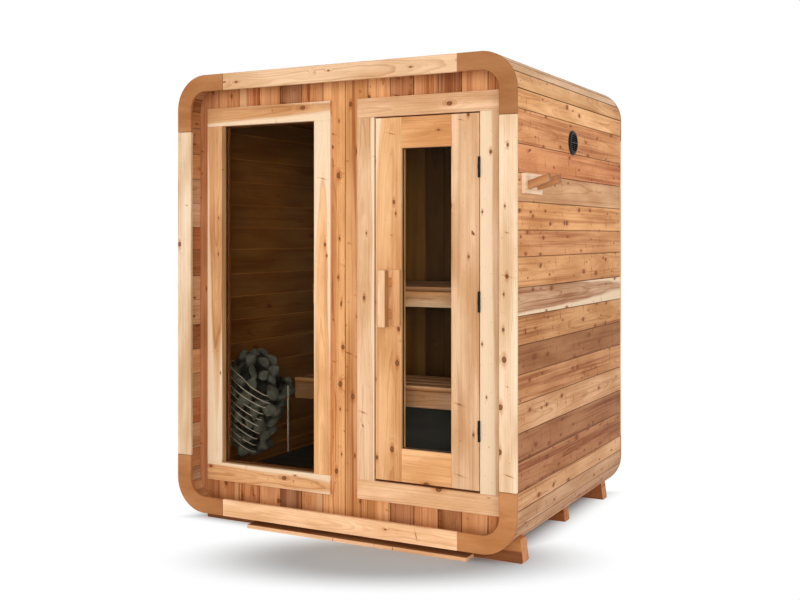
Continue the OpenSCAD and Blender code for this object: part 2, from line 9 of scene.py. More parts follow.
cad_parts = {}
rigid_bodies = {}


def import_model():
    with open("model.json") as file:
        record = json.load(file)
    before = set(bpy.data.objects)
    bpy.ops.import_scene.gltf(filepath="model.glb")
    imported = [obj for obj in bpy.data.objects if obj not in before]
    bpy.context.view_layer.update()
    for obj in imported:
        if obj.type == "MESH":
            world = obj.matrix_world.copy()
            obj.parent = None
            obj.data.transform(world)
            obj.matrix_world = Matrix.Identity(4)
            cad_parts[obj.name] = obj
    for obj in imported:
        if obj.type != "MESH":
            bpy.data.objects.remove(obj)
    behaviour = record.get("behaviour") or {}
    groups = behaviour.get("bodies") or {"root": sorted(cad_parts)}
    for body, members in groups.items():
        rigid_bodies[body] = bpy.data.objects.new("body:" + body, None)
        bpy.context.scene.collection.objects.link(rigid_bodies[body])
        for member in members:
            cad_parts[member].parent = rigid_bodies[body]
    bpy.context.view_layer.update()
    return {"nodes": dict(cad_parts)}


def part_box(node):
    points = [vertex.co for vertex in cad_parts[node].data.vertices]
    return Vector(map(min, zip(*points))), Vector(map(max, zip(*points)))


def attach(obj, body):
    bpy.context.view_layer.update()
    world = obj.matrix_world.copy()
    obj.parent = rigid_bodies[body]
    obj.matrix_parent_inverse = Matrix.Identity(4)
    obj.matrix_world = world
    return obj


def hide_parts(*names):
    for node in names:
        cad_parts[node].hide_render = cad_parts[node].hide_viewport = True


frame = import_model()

mm = 0.001
hair = 0.1 * mm  # a play too small to see, and what tells one face's points from the next

# places, all read from the frame

ringLo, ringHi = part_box("front_ring_boards")
backRingLo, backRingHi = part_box("back_ring_boards")
ringFront, ringBack = ringLo.y, backRingHi.y
staveFront, staveEnd = ringHi.y, backRingLo.y
hullHalf, hullTop, hullBottom = ringHi.x, ringHi.z, ringLo.z
staveThick = ringHi.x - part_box("right_wall")[0].x
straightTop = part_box("upper_corners")[0].z
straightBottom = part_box("lower_corners")[1].z
cornerR = hullTop - straightTop
straightHalf = hullHalf - cornerR
ringWidth = 89 * mm
wallFront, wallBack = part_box("front_wall_left")[0].y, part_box("front_wall_left")[1].y


def faceOf(node):  # (x0, x1, z0, z1) of a node's box
    lo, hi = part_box(node)
    return lo.x, hi.x, lo.z, hi.z


def grown(face, by):
    return face[0] - by, face[1] + by, face[2] - by, face[3] + by


def clearOpening(kind):  # (x0, x1, z0, z1) of the clear opening inside the trim
    x0, x1, z0, z1 = faceOf(kind + "_trim_sides")
    wide = z0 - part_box(kind + "_trim_rails")[0].z
    return x0 + wide, x1 - wide, z0, z1


windowOpen = clearOpening("window")
doorOpen = clearOpening("door")

# wood tones and how a board was cut

woodTones = {
    "cream": (0.90, 0.66, 0.44), "pale": (0.82, 0.52, 0.30), "honey": (0.84, 0.46, 0.21),
    "golden": (0.76, 0.38, 0.155), "tawny": (0.66, 0.31, 0.13), "orange": (0.64, 0.27, 0.11),
    "russet": (0.58, 0.23, 0.085), "sand": (0.66, 0.37, 0.19), "ash": (0.56, 0.33, 0.19),
    "brown": (0.46, 0.20, 0.085), "umber": (0.41, 0.185, 0.085), "walnut": (0.34, 0.14, 0.055),
    "nut": (0.46, 0.195, 0.07), "cocoa": (0.24, 0.085, 0.028),
    "smoked": (0.40, 0.182, 0.040),  # painted shade, for the faces inside the cabin
}
noSap = 9.0  # a distance from the tree's middle that no board reaches


def cutOf(boards, how, wide, thick, back=1):  # where the tree's middle lies from the board's
    rng, side = boards["rng"], boards["rng"].choice((-1, 1))
    if how["cut"] == "flat":
        v0, gap = rng.uniform(-0.22, 0.22) * wide, rng.uniform(0.03, 0.075)
    else:
        v0, gap = side * (wide * 0.5 + rng.uniform(0.01, 0.05)), rng.uniform(0.03, 0.06)
    w0 = back * (thick * 0.5 + gap)
    slopeV, slopeW = rng.uniform(-0.006, 0.006), rng.choice((-1, 1)) * rng.uniform(0.008, 0.02)
    sapFrom = {"none": noSap, "edges": math.hypot(gap + thick, wide * 0.36),
               "side": math.hypot(gap + thick, wide * 0.55)}[how["sap"]]
    return v0, w0, slopeV, slopeW, rng.uniform(0, 40), sapFrom


# inner scales hidden, the darker second tone, mostly painted shade on the faces a caller marks
def look(tone, cut="flat", knots=0.5, streak=0.3, shade=1.0, inner=1.0, hidden="smoked",
         sap="none"):
    return {"tone": tone, "cut": cut, "knots": knots, "streak": streak, "shade": shade,
            "inner": inner, "hidden": hidden, "sap": sap}


# seam darkens the tone of the joint faces, painted shade in the gaps between boards
def newBoards(seed, seam=0.42):
    return {"seam": seam, "verts": [], "faces": [], "grain": [], "tone": [], "habit": [],
            "describe": [], "rng": random.Random(seed)}


def addSolid(boards, loops, toGrain, how, cutting, kindOf=None):
    # kindOf tells points of a face in the darker second tone (1, mostly painted shade), of a joint
    # painted dark for the shade in its gap (2) and of a painted highlight on an edge inside the
    # cabin (3) from the rest
    v0, w0, slopeV, slopeW, shift, sapFrom = cutting
    start, count = len(boards["verts"]), len(loops[0])
    # the board's tone, the painted-shade tone, the joints' painted shade and the painted highlight
    # on edges inside
    tones = ([c * how["shade"] for c in woodTones[how["tone"]]],
             [c * how["inner"] for c in woodTones[how["hidden"]]],
             [c * boards["seam"] for c in woodTones[how["tone"]]],
             [c * how["inner"] * 2.3 for c in woodTones[how["hidden"]]])

    def describe(p):  # what the cedar shader reads at one point
        u, v, w = toGrain(p)
        kind = kindOf(p) if kindOf else 0
        return ((u + shift, v - v0 - slopeV * u, w - w0 - slopeW * u),
                (*tones[kind], 1.0),
                (noSap if kind else sapFrom, how["knots"] * (0.4 if kind else 1), how["streak"]))
    boards["describe"].append(describe)
    for loop in loops:
        for p in loop:
            boards["verts"].append(p[:3])
            for key, value in zip(("grain", "tone", "habit"), describe(p)):
                boards[key].append(value)
    last = start + (len(loops) - 1) * count
    for a in range(start, last, count):
        boards["faces"] += [(a + i, a + (i + 1) % count, a + count + (i + 1) % count,
                             a + count + i) for i in range(count)]
    boards["faces"] += [tuple(range(a, a + count)) for a in (start, last)]


def octagon(b0, b1, c0, c1, e):  # a rectangle with its corners cut by e
    return [(b0 + e, c0), (b1 - e, c0), (b1, c0 + e), (b1, c1 - e),
            (b1 - e, c1), (b0 + e, c1), (b0, c1 - e), (b0, c0 + e)]


def addBoard(boards, lo, hi, along, how, edge=1.5 * mm, back=1, kindOf=None):
    lo, hi = Vector(lo), Vector(hi)
    others = [k for k in range(3) if k != along]
    across, through = sorted(others, key=lambda k: lo[k] - hi[k])
    mid = (lo + hi) / 2
    wide, thick = hi[across] - lo[across], hi[through] - lo[through]
    loops = []
    for u, inset in ((lo[along], edge), (lo[along] + edge, 0.0),
                     (hi[along] - edge, 0.0), (hi[along], edge)):
        loops.append([])
        for b, c in octagon(lo[across] + inset, hi[across] - inset,
                            lo[through] + inset, hi[through] - inset, edge):
            p = [0.0] * 3
            p[along], p[across], p[through] = u, b, c
            loops[-1].append(p)
    addSolid(boards, loops,
             lambda p: (p[along] - mid[along], p[across] - mid[across],
                        p[through] - mid[through]), how, cutOf(boards, how, wide, thick, back),
             kindOf)


def link(obj):
    bpy.context.scene.collection.objects.link(obj)
    return obj


def meshObject(name, verts, faces, material, smooth=None):
    # normals outwards, and smooth shading up to an angle
    mesh = bpy.data.meshes.new(name)
    mesh.from_pydata(verts, [], faces)
    work = bmesh.new()
    work.from_mesh(mesh)
    bmesh.ops.recalc_face_normals(work, faces=work.faces)
    work.to_mesh(mesh)
    work.free()
    if smooth:
        mesh.shade_smooth()
        mesh.set_sharp_from_angle(angle=math.radians(smooth))
    mesh.materials.append(material)
    return link(bpy.data.objects.new(name, mesh))


def finishBoards(boards, name, material, smooth=None):
    obj = meshObject(name, boards["verts"], boards["faces"], material, smooth)
    for key, kind in (("grain", "FLOAT_VECTOR"), ("tone", "FLOAT_COLOR"),
                      ("habit", "FLOAT_VECTOR")):
        layer = obj.data.attributes.new(key, kind, "POINT")
        flat = [c for row in boards[key] for c in row]
        layer.data.foreach_set("color" if kind == "FLOAT_COLOR" else "vector", flat)
    return obj


def place(obj, body, slot, *nodes):
    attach(obj, body)
    if nodes:
        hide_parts(*nodes)


def setDown(boards, name, material, slot, *nodes, body="cabin", smooth=None):
    place(finishBoards(boards, name, material, smooth), body, slot, *nodes)


def dress(material, *nodes):  # CAD nodes that stay visible
    for node in nodes:
        for spot in frame["nodes"][node].material_slots:
            spot.material = material


# node helpers

class Adder:  # adds nodes to one tree; calc, mix and the others are short ways to common nodes
    def __init__(self, tree):
        self.tree = tree

    def fill(self, sockets, values):  # sets or links each; a node stands for its first output
        for key, value in values.items():
            if isinstance(value, bpy.types.Node):
                value = value.outputs[0]
            if isinstance(value, bpy.types.NodeSocket):
                self.tree.links.new(value, sockets[key])
            else:
                sockets[key].default_value = value

    def __call__(self, kind, ins=None, **props):
        made = self.tree.nodes.new(kind)
        for key, value in props.items():
            setattr(made, key, value)
        self.fill(made.inputs, ins or {})
        return made

    def calc(self, operation, *ins):
        return self("ShaderNodeMath", dict(enumerate((*ins, 0.0, 0.0)[:3])), operation=operation)

    def times(self, a, b):
        return self.calc("MULTIPLY", a, b)

    def plus(self, a, b):
        return self.calc("ADD", a, b)

    def less(self, a, b):
        return self.calc("SUBTRACT", a, b)

    def over(self, a, b):
        return self.calc("DIVIDE", a, b)

    def timesPlus(self, a, b, c):
        return self.calc("MULTIPLY_ADD", a, b, c)

    def root(self, a, b):  # length of the hypotenuse over a and b
        return self.calc("SQRT", self.plus(self.times(a, a), self.times(b, b)))

    def vector(self, operation, *ins):
        return self("ShaderNodeVectorMath", dict(enumerate(ins)), operation=operation)

    def scaled(self, vector, by):
        return self("ShaderNodeVectorMath", {0: vector, 3: by}, operation="SCALE")

    def split(self, vector):
        return self("ShaderNodeSeparateXYZ", {0: vector}).outputs

    def spread(self, value, lo, hi):  # 0 up to lo and 1 from hi on
        return self("ShaderNodeMapRange", {0: value, 1: lo, 2: hi},
                    interpolation_type="SMOOTHSTEP")

    def mix(self, fac, a, b, kind="MIX"):
        return self("ShaderNodeMix", {0: fac, 6: a, 7: b}, data_type="RGBA",
                    blend_type=kind).outputs[2]

    def tinted(self, colour, tint):
        return self.mix(1.0, colour, (*tint, 1), "MULTIPLY")

    def stained(self, colour, fac, tint):
        return self.mix(fac, colour, self.tinted(colour, tint))

    def noise(self, vector, scale, detail=2.0, rough=0.5):
        return self("ShaderNodeTexNoise", {"Vector": self.vector("MULTIPLY", vector, scale),
                                           "Scale": 1.0, "Detail": detail, "Roughness": rough})

    def wavy(self, vector, scale, size):  # noise to both sides of zero
        return self.times(self.less(self.noise(vector, scale), 0.5), size)


def newGroup(name, kind, inputs, outputs):
    tree = bpy.data.node_groups.new(name, kind)
    for side, sockets in (("INPUT", inputs), ("OUTPUT", outputs)):
        for label, socketKind in sockets.items():
            tree.interface.new_socket(name=label, in_out=side,
                                      socket_type="NodeSocket" + socketKind)
    add = Adder(tree)
    return tree, add, add("NodeGroupInput").outputs, add("NodeGroupOutput").inputs


def newMaterial(name, **looks):  # with its adder of nodes and its Principled node
    material = bpy.data.materials.new(name)
    material.use_nodes = True
    add, surface = Adder(material.node_tree), material.node_tree.nodes["Principled BSDF"]
    add.fill(surface.inputs, {key.replace("_", " "): value for key, value in looks.items()})
    return material, add, surface


def coat(add, surface, group, strength, relief):  # a group's colour, roughness and bump
    bump = add("ShaderNodeBump", {"Height": group.outputs["Height"], "Strength": strength,
                                  "Distance": relief * mm})
    add.fill(surface.inputs, {"Base Color": group.outputs["Colour"],
                              "Roughness": group.outputs["Roughness"], "Normal": bump})


# cedar, shared by every wooden piece

def buildCedarGroup():
    tree, add, into, out = newGroup(
        "cedarGrain", "ShaderNodeTree",
        {"Grain": "Vector", "Tone": "Color", "Habit": "Vector", "Ring width": "Float",
         "Line depth": "Float", "Sapwood": "Color", "Fibre": "Float"},
        {"Colour": "Color", "Roughness": "Float", "Height": "Float"})
    times, plus, less, spread = add.times, add.plus, add.less, add.spread
    grain, lineDepth = into["Grain"], into["Line depth"]
    sapFrom, knotty, streaky = add.split(into["Habit"])[:]
    wave, ripple = add.wavy(grain, (1.3, 6, 6), 0.034), add.wavy(grain, (7, 46, 46), 0.0042)
    radius = add.root(*add.split(grain)[1:])

    def cells(scale, shift):  # offset from the nearest cell's middle, in metres, and its draw
        moved = add.vector("MULTIPLY_ADD", grain, scale, shift)
        cell = add("ShaderNodeTexVoronoi", {"Vector": moved, "Scale": 1.0, "Randomness": 0.9})
        away = add.vector("SUBTRACT", moved, cell.outputs["Position"])
        return (add.split(add.vector("DIVIDE", away, scale)),
                add("ShaderNodeSeparateColor", {0: cell.outputs["Color"]}).outputs)

    def oval(longX, longY):  # 1 on an oval round the cell's middle
        return add.root(add.over(away[0], longX), add.over(away[1], longY))

    # round knots, with the grain flowing round them
    away, draw = cells((4.6, 8.5, 0.35), (0.0, 0.0, 0.0))
    there = add.calc("LESS_THAN", draw[1], times(knotty, 0.85))
    size = add.timesPlus(add.calc("POWER", draw[0], 2.0), 0.0075, 0.0042)
    knot = plus(oval(times(size, 1.3), size), add.wavy(grain, (90, 90, 20), 0.35))
    core = times(spread(knot, 1.0, 0.82), there)
    rim = times(times(spread(knot, 0.62, 0.9), spread(knot, 1.16, 1.0)), there)
    halo = times(spread(oval(times(size, 4.2), times(size, 1.5)), 1.35, 0.3), there)
    push = times(times(spread(oval(times(size, 2.6), size), 3.2, 0.4), size), times(there, 1.6))
    # spike knots across the board, and pin knots
    away, draw = cells((8.5, 13.0, 0.5), (13.0, 7.0, 3.0))
    spike = add.root(
        add.over(plus(away[0], times(away[1], 0.25)), add.timesPlus(draw[2], 0.0014, 0.0013)),
        add.over(away[1], add.timesPlus(add.calc("POWER", draw[0], 3.0), 0.017, 0.0020)))
    spiky = add.calc("LESS_THAN", draw[1], times(add.calc("POWER", knotty, 3.0), 0.9))
    tick, near = times(spread(spike, 1.15, 0.75), spiky), times(spread(spike, 4.5, 0.8), spiky)
    away, draw = cells((19, 30, 0.8), (5.0, 3.0, 1.0))
    pin = times(spread(oval(0.0019, 0.0014), 1.25, 0.6),
                add.calc("LESS_THAN", draw[1], times(knotty, 0.30)))

    # growth rings
    bent = plus(plus(radius, wave), plus(ripple, push))
    phase = add.over(bent, into["Ring width"])
    ringNo = add("ShaderNodeTexWhiteNoise", {"W": add.calc("FLOOR", phase)},
                 noise_dimensions="1D").outputs["Value"]
    turn = add.calc("FRACT", phase)
    late = times(times(spread(turn, 0.35, 0.93), spread(turn, 1.0, 0.94)),
                 add.timesPlus(times(ringNo, ringNo), 0.9, 0.25))
    sap = spread(plus(radius, times(wave, 0.8)), less(sapFrom, 0.003), plus(sapFrom, 0.005))

    # streaks along the board, blotches, and fine fibre
    fine = add.noise(grain, (0.9, 75, 30), 3.0, 0.6)
    broad = add.noise(grain, (0.55, 17, 11))
    streaks = spread(add.timesPlus(fine, 0.5, times(broad, 0.5)), 0.46, 0.62)
    blotch = add.noise(grain, (2.2, 9, 9), 3.0)
    fibre = add.noise(grain, (22, 850, 850))

    tone = add.mix(spread(blotch, 0.3, 0.7), add.tinted(into["Tone"], (0.83, 0.74, 0.63)),
                   add.tinted(into["Tone"], (1.10, 1.15, 1.22)))
    heart = add.stained(tone, times(late, lineDepth), (0.66, 0.50, 0.38))
    heart = add.stained(heart, times(streaks, streaky), (0.58, 0.40, 0.28))
    white = add.stained(into["Sapwood"], times(times(late, lineDepth), 0.45), (0.78, 0.62, 0.46))
    colour = add.mix(sap, heart, white)
    colour = add.stained(colour, times(halo, 0.75), (0.70, 0.44, 0.28))
    colour = add.stained(colour, times(near, 0.55), (0.80, 0.56, 0.38))
    eye = add.mix(spread(add.calc("SINE", times(knot, 14.0)), -0.6, 0.8),
                  (0.17, 0.055, 0.018, 1), (0.32, 0.12, 0.038, 1))
    colour = add.mix(times(core, 0.92), colour, eye)
    colour = add.mix(times(rim, 0.85), colour, (0.085, 0.028, 0.010, 1))
    colour = add.mix(times(add.calc("MAXIMUM", tick, pin), 0.85), colour,
                     (0.11, 0.036, 0.013, 1))
    grit = add.timesPlus(less(fibre, 0.5), into["Fibre"], 1.0)
    dents = plus(times(late, 0.35), times(add.calc("MAXIMUM", rim, tick), 0.6))
    add.fill(out, {"Colour": add.scaled(colour, grit),
                   "Roughness": plus(times(late, 0.08), add.timesPlus(fibre, 0.16, 0.50)),
                   "Height": less(times(fibre, 0.5), dents)})
    return tree


cedarGroup = buildCedarGroup()


def cedar(name, ringWide=4.6, lineDepth=0.75, sapwood=(0.90, 0.68, 0.46), fibre=0.22,
          relief=0.25):
    material, add, surface = newMaterial(name, Specular_IOR_Level=0.15)
    read = {key: add("ShaderNodeAttribute", attribute_name=key).outputs
            for key in ("grain", "tone", "habit")}
    wood = add("ShaderNodeGroup", {
        "Grain": read["grain"]["Vector"], "Tone": read["tone"]["Color"],
        "Habit": read["habit"]["Vector"], "Ring width": ringWide * mm, "Line depth": lineDepth,
        "Sapwood": (*sapwood, 1), "Fibre": fibre}, node_tree=cedarGroup)
    coat(add, surface, wood, 0.5, relief)
    return material


hullCedar = cedar("hullCedar", 4.8, 0.62)
wallCedar = cedar("wallCedar", 4.2, 0.95, (0.72, 0.40, 0.19))
ringCedar = cedar("ringCedar", 5.0, 0.55)
cornerCedar = cedar("cornerCedar", 3.0, 0.30, fibre=0.45)
trimCedar = cedar("trimCedar", 5.0, 0.60)
doorCedar = cedar("doorCedar", 4.6, 0.60)
cradleCedar = cedar("cradleCedar", 5.0, 0.80, fibre=0.4, relief=0.5)
benchCedar = cedar("benchCedar", 4.6, 0.70)
print("materials: cedar ready")

# hull of staves

hullBoards = {
    "skin": 0.4 * mm,       # the staves lie this far inside the frame's hull
    "gap": 0.7 * mm,        # half the gap between two staves
    "upperGap": 1.7 * mm,   # the same where the roof curves down
    "groove": 2.2 * mm,     # depth of the cut along each joint
    "lip": 9 * mm,          # behind this depth the staves nearly touch
    "rightJoints": (259, 345, 487, 622, 761, 897, 1034, 1171, 1305, 1450, 1577, 1711, 1846,
                    1983, 2148, 2242),
    "leftJoints": (262, 365, 507, 642, 781, 917, 1054, 1191, 1325, 1470, 1597, 1731, 1866,
                   2003, 2150, 2242),
    "upperArc": (87, 148, 217), "upperArcLeft": (69, 138, 199),
    "lowerArc": (44.5, 124.5, 205),
    "flatCount": 12,        # staves across the roof, and across the floor
}
sideLen, topLen, arcLen = straightTop - straightBottom, 2 * straightHalf, cornerR * math.pi / 2
outline = []  # (kind, start distance, length, place) round the section from the right side up
cursor = 0.0
for kind, length, where in (
        ("line", sideLen, ((hullHalf, straightBottom), (0, 1), (-1, 0))),
        ("arc", arcLen, ((straightHalf, straightTop), 0)),
        ("line", topLen, ((straightHalf, hullTop), (-1, 0), (0, -1))),
        ("arc", arcLen, ((-straightHalf, straightTop), 90)),
        ("line", sideLen, ((-hullHalf, straightTop), (0, -1), (1, 0))),
        ("arc", arcLen, ((-straightHalf, straightBottom), 180)),
        ("line", topLen, ((-straightHalf, hullBottom), (1, 0), (0, 1))),
        ("arc", arcLen, ((straightHalf, straightBottom), 270))):
    outline.append((kind, cursor, length, where))
    cursor += length
hullRound = cursor


def hullPoint(s, depth):  # (x, z) at a distance round the hull's section, at a depth in it
    s %= hullRound
    for kind, start, length, where in outline:
        if s <= start + length + 1e-9:
            t = s - start
            if kind == "line":
                (x, z), (dx, dz), (nx, nz) = where
                return x + dx * t + nx * depth, z + dz * t + nz * depth
            (x, z), turn = where
            angle = math.radians(turn) + t / cornerR
            r = cornerR - depth
            return x + r * math.cos(angle), z + r * math.sin(angle)
    return hullPoint(0.0, depth)


def roundStops(s0, s1, step=9 * mm):  # the ends, and stops between them along the arcs
    stops = [s0, s1]
    for lap in (-hullRound, 0.0, hullRound):
        for kind, start, length, where in outline:
            count = math.ceil(length / step) if kind == "arc" else 1
            marks = [start + lap + length * k / count for k in range(count + 1)]
            stops += [s for s in marks if s0 < s < s1]
    return sorted(set(round(s, 7) for s in stops))


wallCover, fade = 12 * mm, 2 * mm  # the faces painted in shade start inside the end walls
insideFrom, insideTo = wallFront + wallCover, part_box("back_wall")[1].y - wallCover


def addStave(boards, s0, s1, how, gap):
    b, mid = hullBoards, (s0 + s1) / 2
    across = roundStops(s0 + b["groove"], s1 - b["groove"])
    skin, lip, tight = b["skin"], b["skin"] + b["lip"], gap - hair
    thick = staveThick - skin
    top, deep = skin + b["groove"], staveThick - b["groove"]
    section = [(s, skin) for s in across] + [
        (s1, top), (s1, lip), (s1 + tight, lip), (s1 + tight, deep)] + [
        (s, staveThick) for s in reversed(across)] + [
        (s0 - tight, deep), (s0 - tight, lip), (s0, lip), (s0, top)]
    flatLoop = [(*hullPoint(s, d), s, d) for s, d in section]
    loops = [[(x, y, z, s, d) for x, z, s, d in flatLoop]
             for y in (staveFront, insideFrom, insideFrom + fade, insideTo - fade, insideTo,
                       staveEnd)]

    def kindOf(p):  # painted shade on the faces inside the cabin, a painted highlight at their edges, and painted shade in the joints
        if p[4] > skin + thick * 0.7 and insideFrom < p[1] < insideTo:
            return 1 if p[4] > staveThick - 1 * mm else 3
        return 2 if p[3] < s0 + hair or p[3] > s1 - hair else 0
    addSolid(boards, loops, lambda p: (p[1], p[3] - mid, p[4] - (skin + staveThick) / 2), how,
             cutOf(boards, how, s1 - s0, thick), kindOf)


def findStaves():  # (start, end) of every stave round the hull, from the right side up
    b = hullBoards
    flat = [topLen * k / b["flatCount"] for k in range(1, b["flatCount"] + 1)]
    marks = ([z * mm - straightBottom for z in b["rightJoints"]],
             [*[s * mm for s in b["upperArc"]], arcLen], flat,
             [*[s * mm for s in b["upperArcLeft"]], arcLen],
             [straightTop - z * mm for z in reversed(b["leftJoints"][:-1])],
             [*[s * mm for s in b["lowerArc"]], arcLen], flat,
             [arcLen - s * mm for s in reversed(b["lowerArc"])])
    joints = [part[1] + s for part, row in zip(outline, marks) for s in row]
    return list(zip(joints, [*joints[1:], joints[0] + hullRound]))


rightLooks = [  # from the lowest stave up
    look("sand", "rift", 0.8, 0.8, 1.20), look("brown", "flat", 1.05, 1.0, 1.09),
    look("brown", "rift", 1.05, 1.0, 0.96), look("sand", "flat", 0.6, 0.5, 1.18),
    look("tawny", "flat", 1.0, 1.0, 0.95), look("nut", "rift", 1.1, 1.0, 0.85),
    look("golden", "flat", 1.0, 0.9, 0.88), look("ash", "flat", 0.6, 1.0, 1.13, sap="edges"),
    look("golden", "flat", 0.9, 0.7), look("tawny", "rift", 1.0, 0.8, 1.10),
    look("golden", "rift", 1.0, 0.7, 1.12), look("sand", "flat", 0.5, 0.5, 1.12),
    look("orange", "rift", 1.0, 0.9, 1.21), look("tawny", "flat", 1.0, 0.9, 1.19),
    look("honey", "flat", 0.6, 0.5, 1.12), look("honey", "flat", 0.7, 0.5, 0.98),
    look("pale", "rift", 0.7, 0.6), look("pale", "rift", 0.6, 0.5),
    look("pale", "flat", 0.6, 0.5)]
mixedLooks = [
    look("golden", "flat", 0.6), look("tawny", "rift", 0.7, 0.4),
    look("orange", "flat", 0.7, 0.4), look("sand", "flat", 0.4, sap="edges"),
    look("honey", "rift"), look("brown", "flat", 0.6, 0.5),
    look("russet", "rift", 0.6, 0.4), look("pale", "flat", 0.4)]


def buildHull():
    b, picker = hullBoards, random.Random(7)
    # the joints of the upper arcs and the roof get the darkest painted shade
    groups = {key: newBoards(100 + k, 0.10 if key in ("upper", "roof") else 0.42)
              for k, key in enumerate(hullNodes)}
    for k, (s0, s1) in enumerate(staves):
        x, z = hullPoint((s0 + s1) / 2, 0.0)
        if abs(x) <= straightHalf:
            group = "roof" if z > 1 else "floor"
        elif straightBottom <= z <= straightTop:
            group = "right" if x > 0 else "left"
        else:
            group = "upper" if z > 1 else "lower"
        how = rightLooks[k] if k < len(rightLooks) else picker.choice(mixedLooks)
        if group == "roof":
            how = look(picker.choice(("pale", "honey", "sand")), picker.choice(("flat", "rift")))
        if group in ("lower", "floor") and k > 30:
            how = look(picker.choice(("ash", "sand", "ash")), "rift", 0.8, 0.7, 1.22)
        gap = b["upperGap" if z > straightTop else "gap"]
        addStave(groups[group], s0 + gap, s1 - gap, how, gap)
    made = {key: finishBoards(boards, key + "Staves", hullCedar,
                              25 if key in ("upper", "lower") else None)
            for key, boards in groups.items()}
    return made, groups["right"]


staves = findStaves()
hullNodes = {"right": "right_wall", "upper": "upper_corners", "roof": "roof",
             "left": "left_wall", "lower": "lower_corners", "floor": "floor"}
hull, rightStaves = buildHull()


def plainMesh(obj):  # the mesh that an object's modifiers make of it
    graph = bpy.context.evaluated_depsgraph_get()
    return bpy.data.meshes.new_from_object(obj.evaluated_get(graph),
                                           preserve_all_data_layers=True, depsgraph=graph)


ventLo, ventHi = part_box("vent_grille")
ventMid = Vector((hullHalf, (ventLo.y + ventHi.y) / 2, (ventLo.z + ventHi.z) / 2))
ventHole = {"radius": 50 * mm, "deep": 200 * mm, "turns": 64}


def cutVentHole(obj):  # cut for good out of the closed mesh of the right side
    b, mesh, work = ventHole, bpy.data.meshes.new("ventHole"), bmesh.new()
    bmesh.ops.create_cone(work, cap_ends=True, segments=b["turns"], radius1=b["radius"],
                          radius2=b["radius"], depth=b["deep"])
    work.to_mesh(mesh)
    work.free()
    mesh.transform(Matrix.Translation(ventMid) @ Matrix.Rotation(math.pi / 2, 4, "Y"))
    cutter = link(bpy.data.objects.new("ventHole", mesh))
    tool = obj.modifiers.new("cut", "BOOLEAN")
    tool.operation, tool.solver, tool.object = "DIFFERENCE", "EXACT", cutter
    made = plainMesh(obj)
    obj.modifiers.remove(tool)
    obj.data = made
    bpy.data.objects.remove(cutter)


def redescribe(obj, boards, where):  # the cut's new points get the values of their stave
    stave = max(k for k, z in enumerate(hullBoards["rightJoints"]) if z * mm < where.z)
    describe, data = boards["describe"][stave], obj.data.attributes
    for point in obj.data.vertices:
        if data["habit"].data[point.index].vector.length < 1e-6:
            x, y, z = point.co
            grain, tone, habit = describe((x, y, z, z - straightBottom, hullHalf - x))
            data["grain"].data[point.index].vector = grain
            data["tone"].data[point.index].color = tone
            data["habit"].data[point.index].vector = habit


cutVentHole(hull["right"])
redescribe(hull["right"], rightStaves, ventMid)
for key, node in hullNodes.items():
    place(hull[key], "cabin", "hull_cedar", node)
print("hull:", sum(len(o.data.polygons) for o in hull.values()), "faces")

# end rings

ringBoards = {"edge": 1.8 * mm, "cornerLeg": 305 * mm, "joint": 1.0 * mm,
              "cornerShades": (0.85, 1.0, 1.03, 1.14)}
ringLooks = {
    "top": look("pale", "flat", 0.35, 0.15, 0.96),
    "bottom": look("pale", "flat", 0.4, 0.25, 1.24),
    "left": look("cream", "rift", 0.35, 0.25, 0.93),
    "right": look("cream", "rift", 0.55, 0.15, 1.03)}


def buildRing(side, y0, y1, seed, back):
    b = ringBoards
    e, leg, w, joint = b["edge"], b["cornerLeg"], ringWidth, b["joint"]
    run, low, high = hullHalf - leg, hullBottom + leg, hullTop - leg
    straight, corners = newBoards(seed), newBoards(seed + 1)
    for name, lo, hi, along in (
            ("top", (-run, y0, hullTop - w), (run, y1, hullTop), 0),
            ("bottom", (-run, y0, hullBottom), (run, y1, hullBottom + w), 0),
            ("left", (-hullHalf, y0, low), (w - hullHalf, y1, high), 2),
            ("right", (hullHalf - w, y0, low), (hullHalf, y1, high), 2)):
        lo, hi = Vector(lo), Vector(hi)
        lo[along] += joint
        hi[along] -= joint
        addBoard(straight, lo, hi, along, ringLooks[name], e, back)
    reach = leg - cornerR - joint
    arcs = [part for part in outline if part[0] == "arc"]
    for k, (kind, start, length, ((midX, midZ), turn)) in enumerate(arcs):
        how = look("nut", "flat", 0.12 if k < 2 else 0.05, 0.15, b["cornerShades"][k])
        loops = []
        for s in roundStops(start - reach, start + length + reach, 7 * mm):
            points = [(hullPoint(s, d), y) for d, y in octagon(0.0, w, y0, y1, e)]
            loops.append([(x, y, z) for (x, z), y in points])
        addSolid(corners, loops, lambda p: (p[0] - midX, p[2] - midZ, p[1] - (y0 + y1) / 2), how,
                 cutOf(corners, how, 0.3, y1 - y0, back))
    setDown(straight, side + "RingBoards", ringCedar, "ring_cedar", side + "_ring_boards")
    setDown(corners, side + "RingCorners", cornerCedar, "corner_cedar", side + "_ring_corners",
            smooth=30)


buildRing("front", ringFront, staveFront, 20, 1)
buildRing("back", staveEnd, ringBack, 30, -1)
print("rings done")

# end walls of upright boards

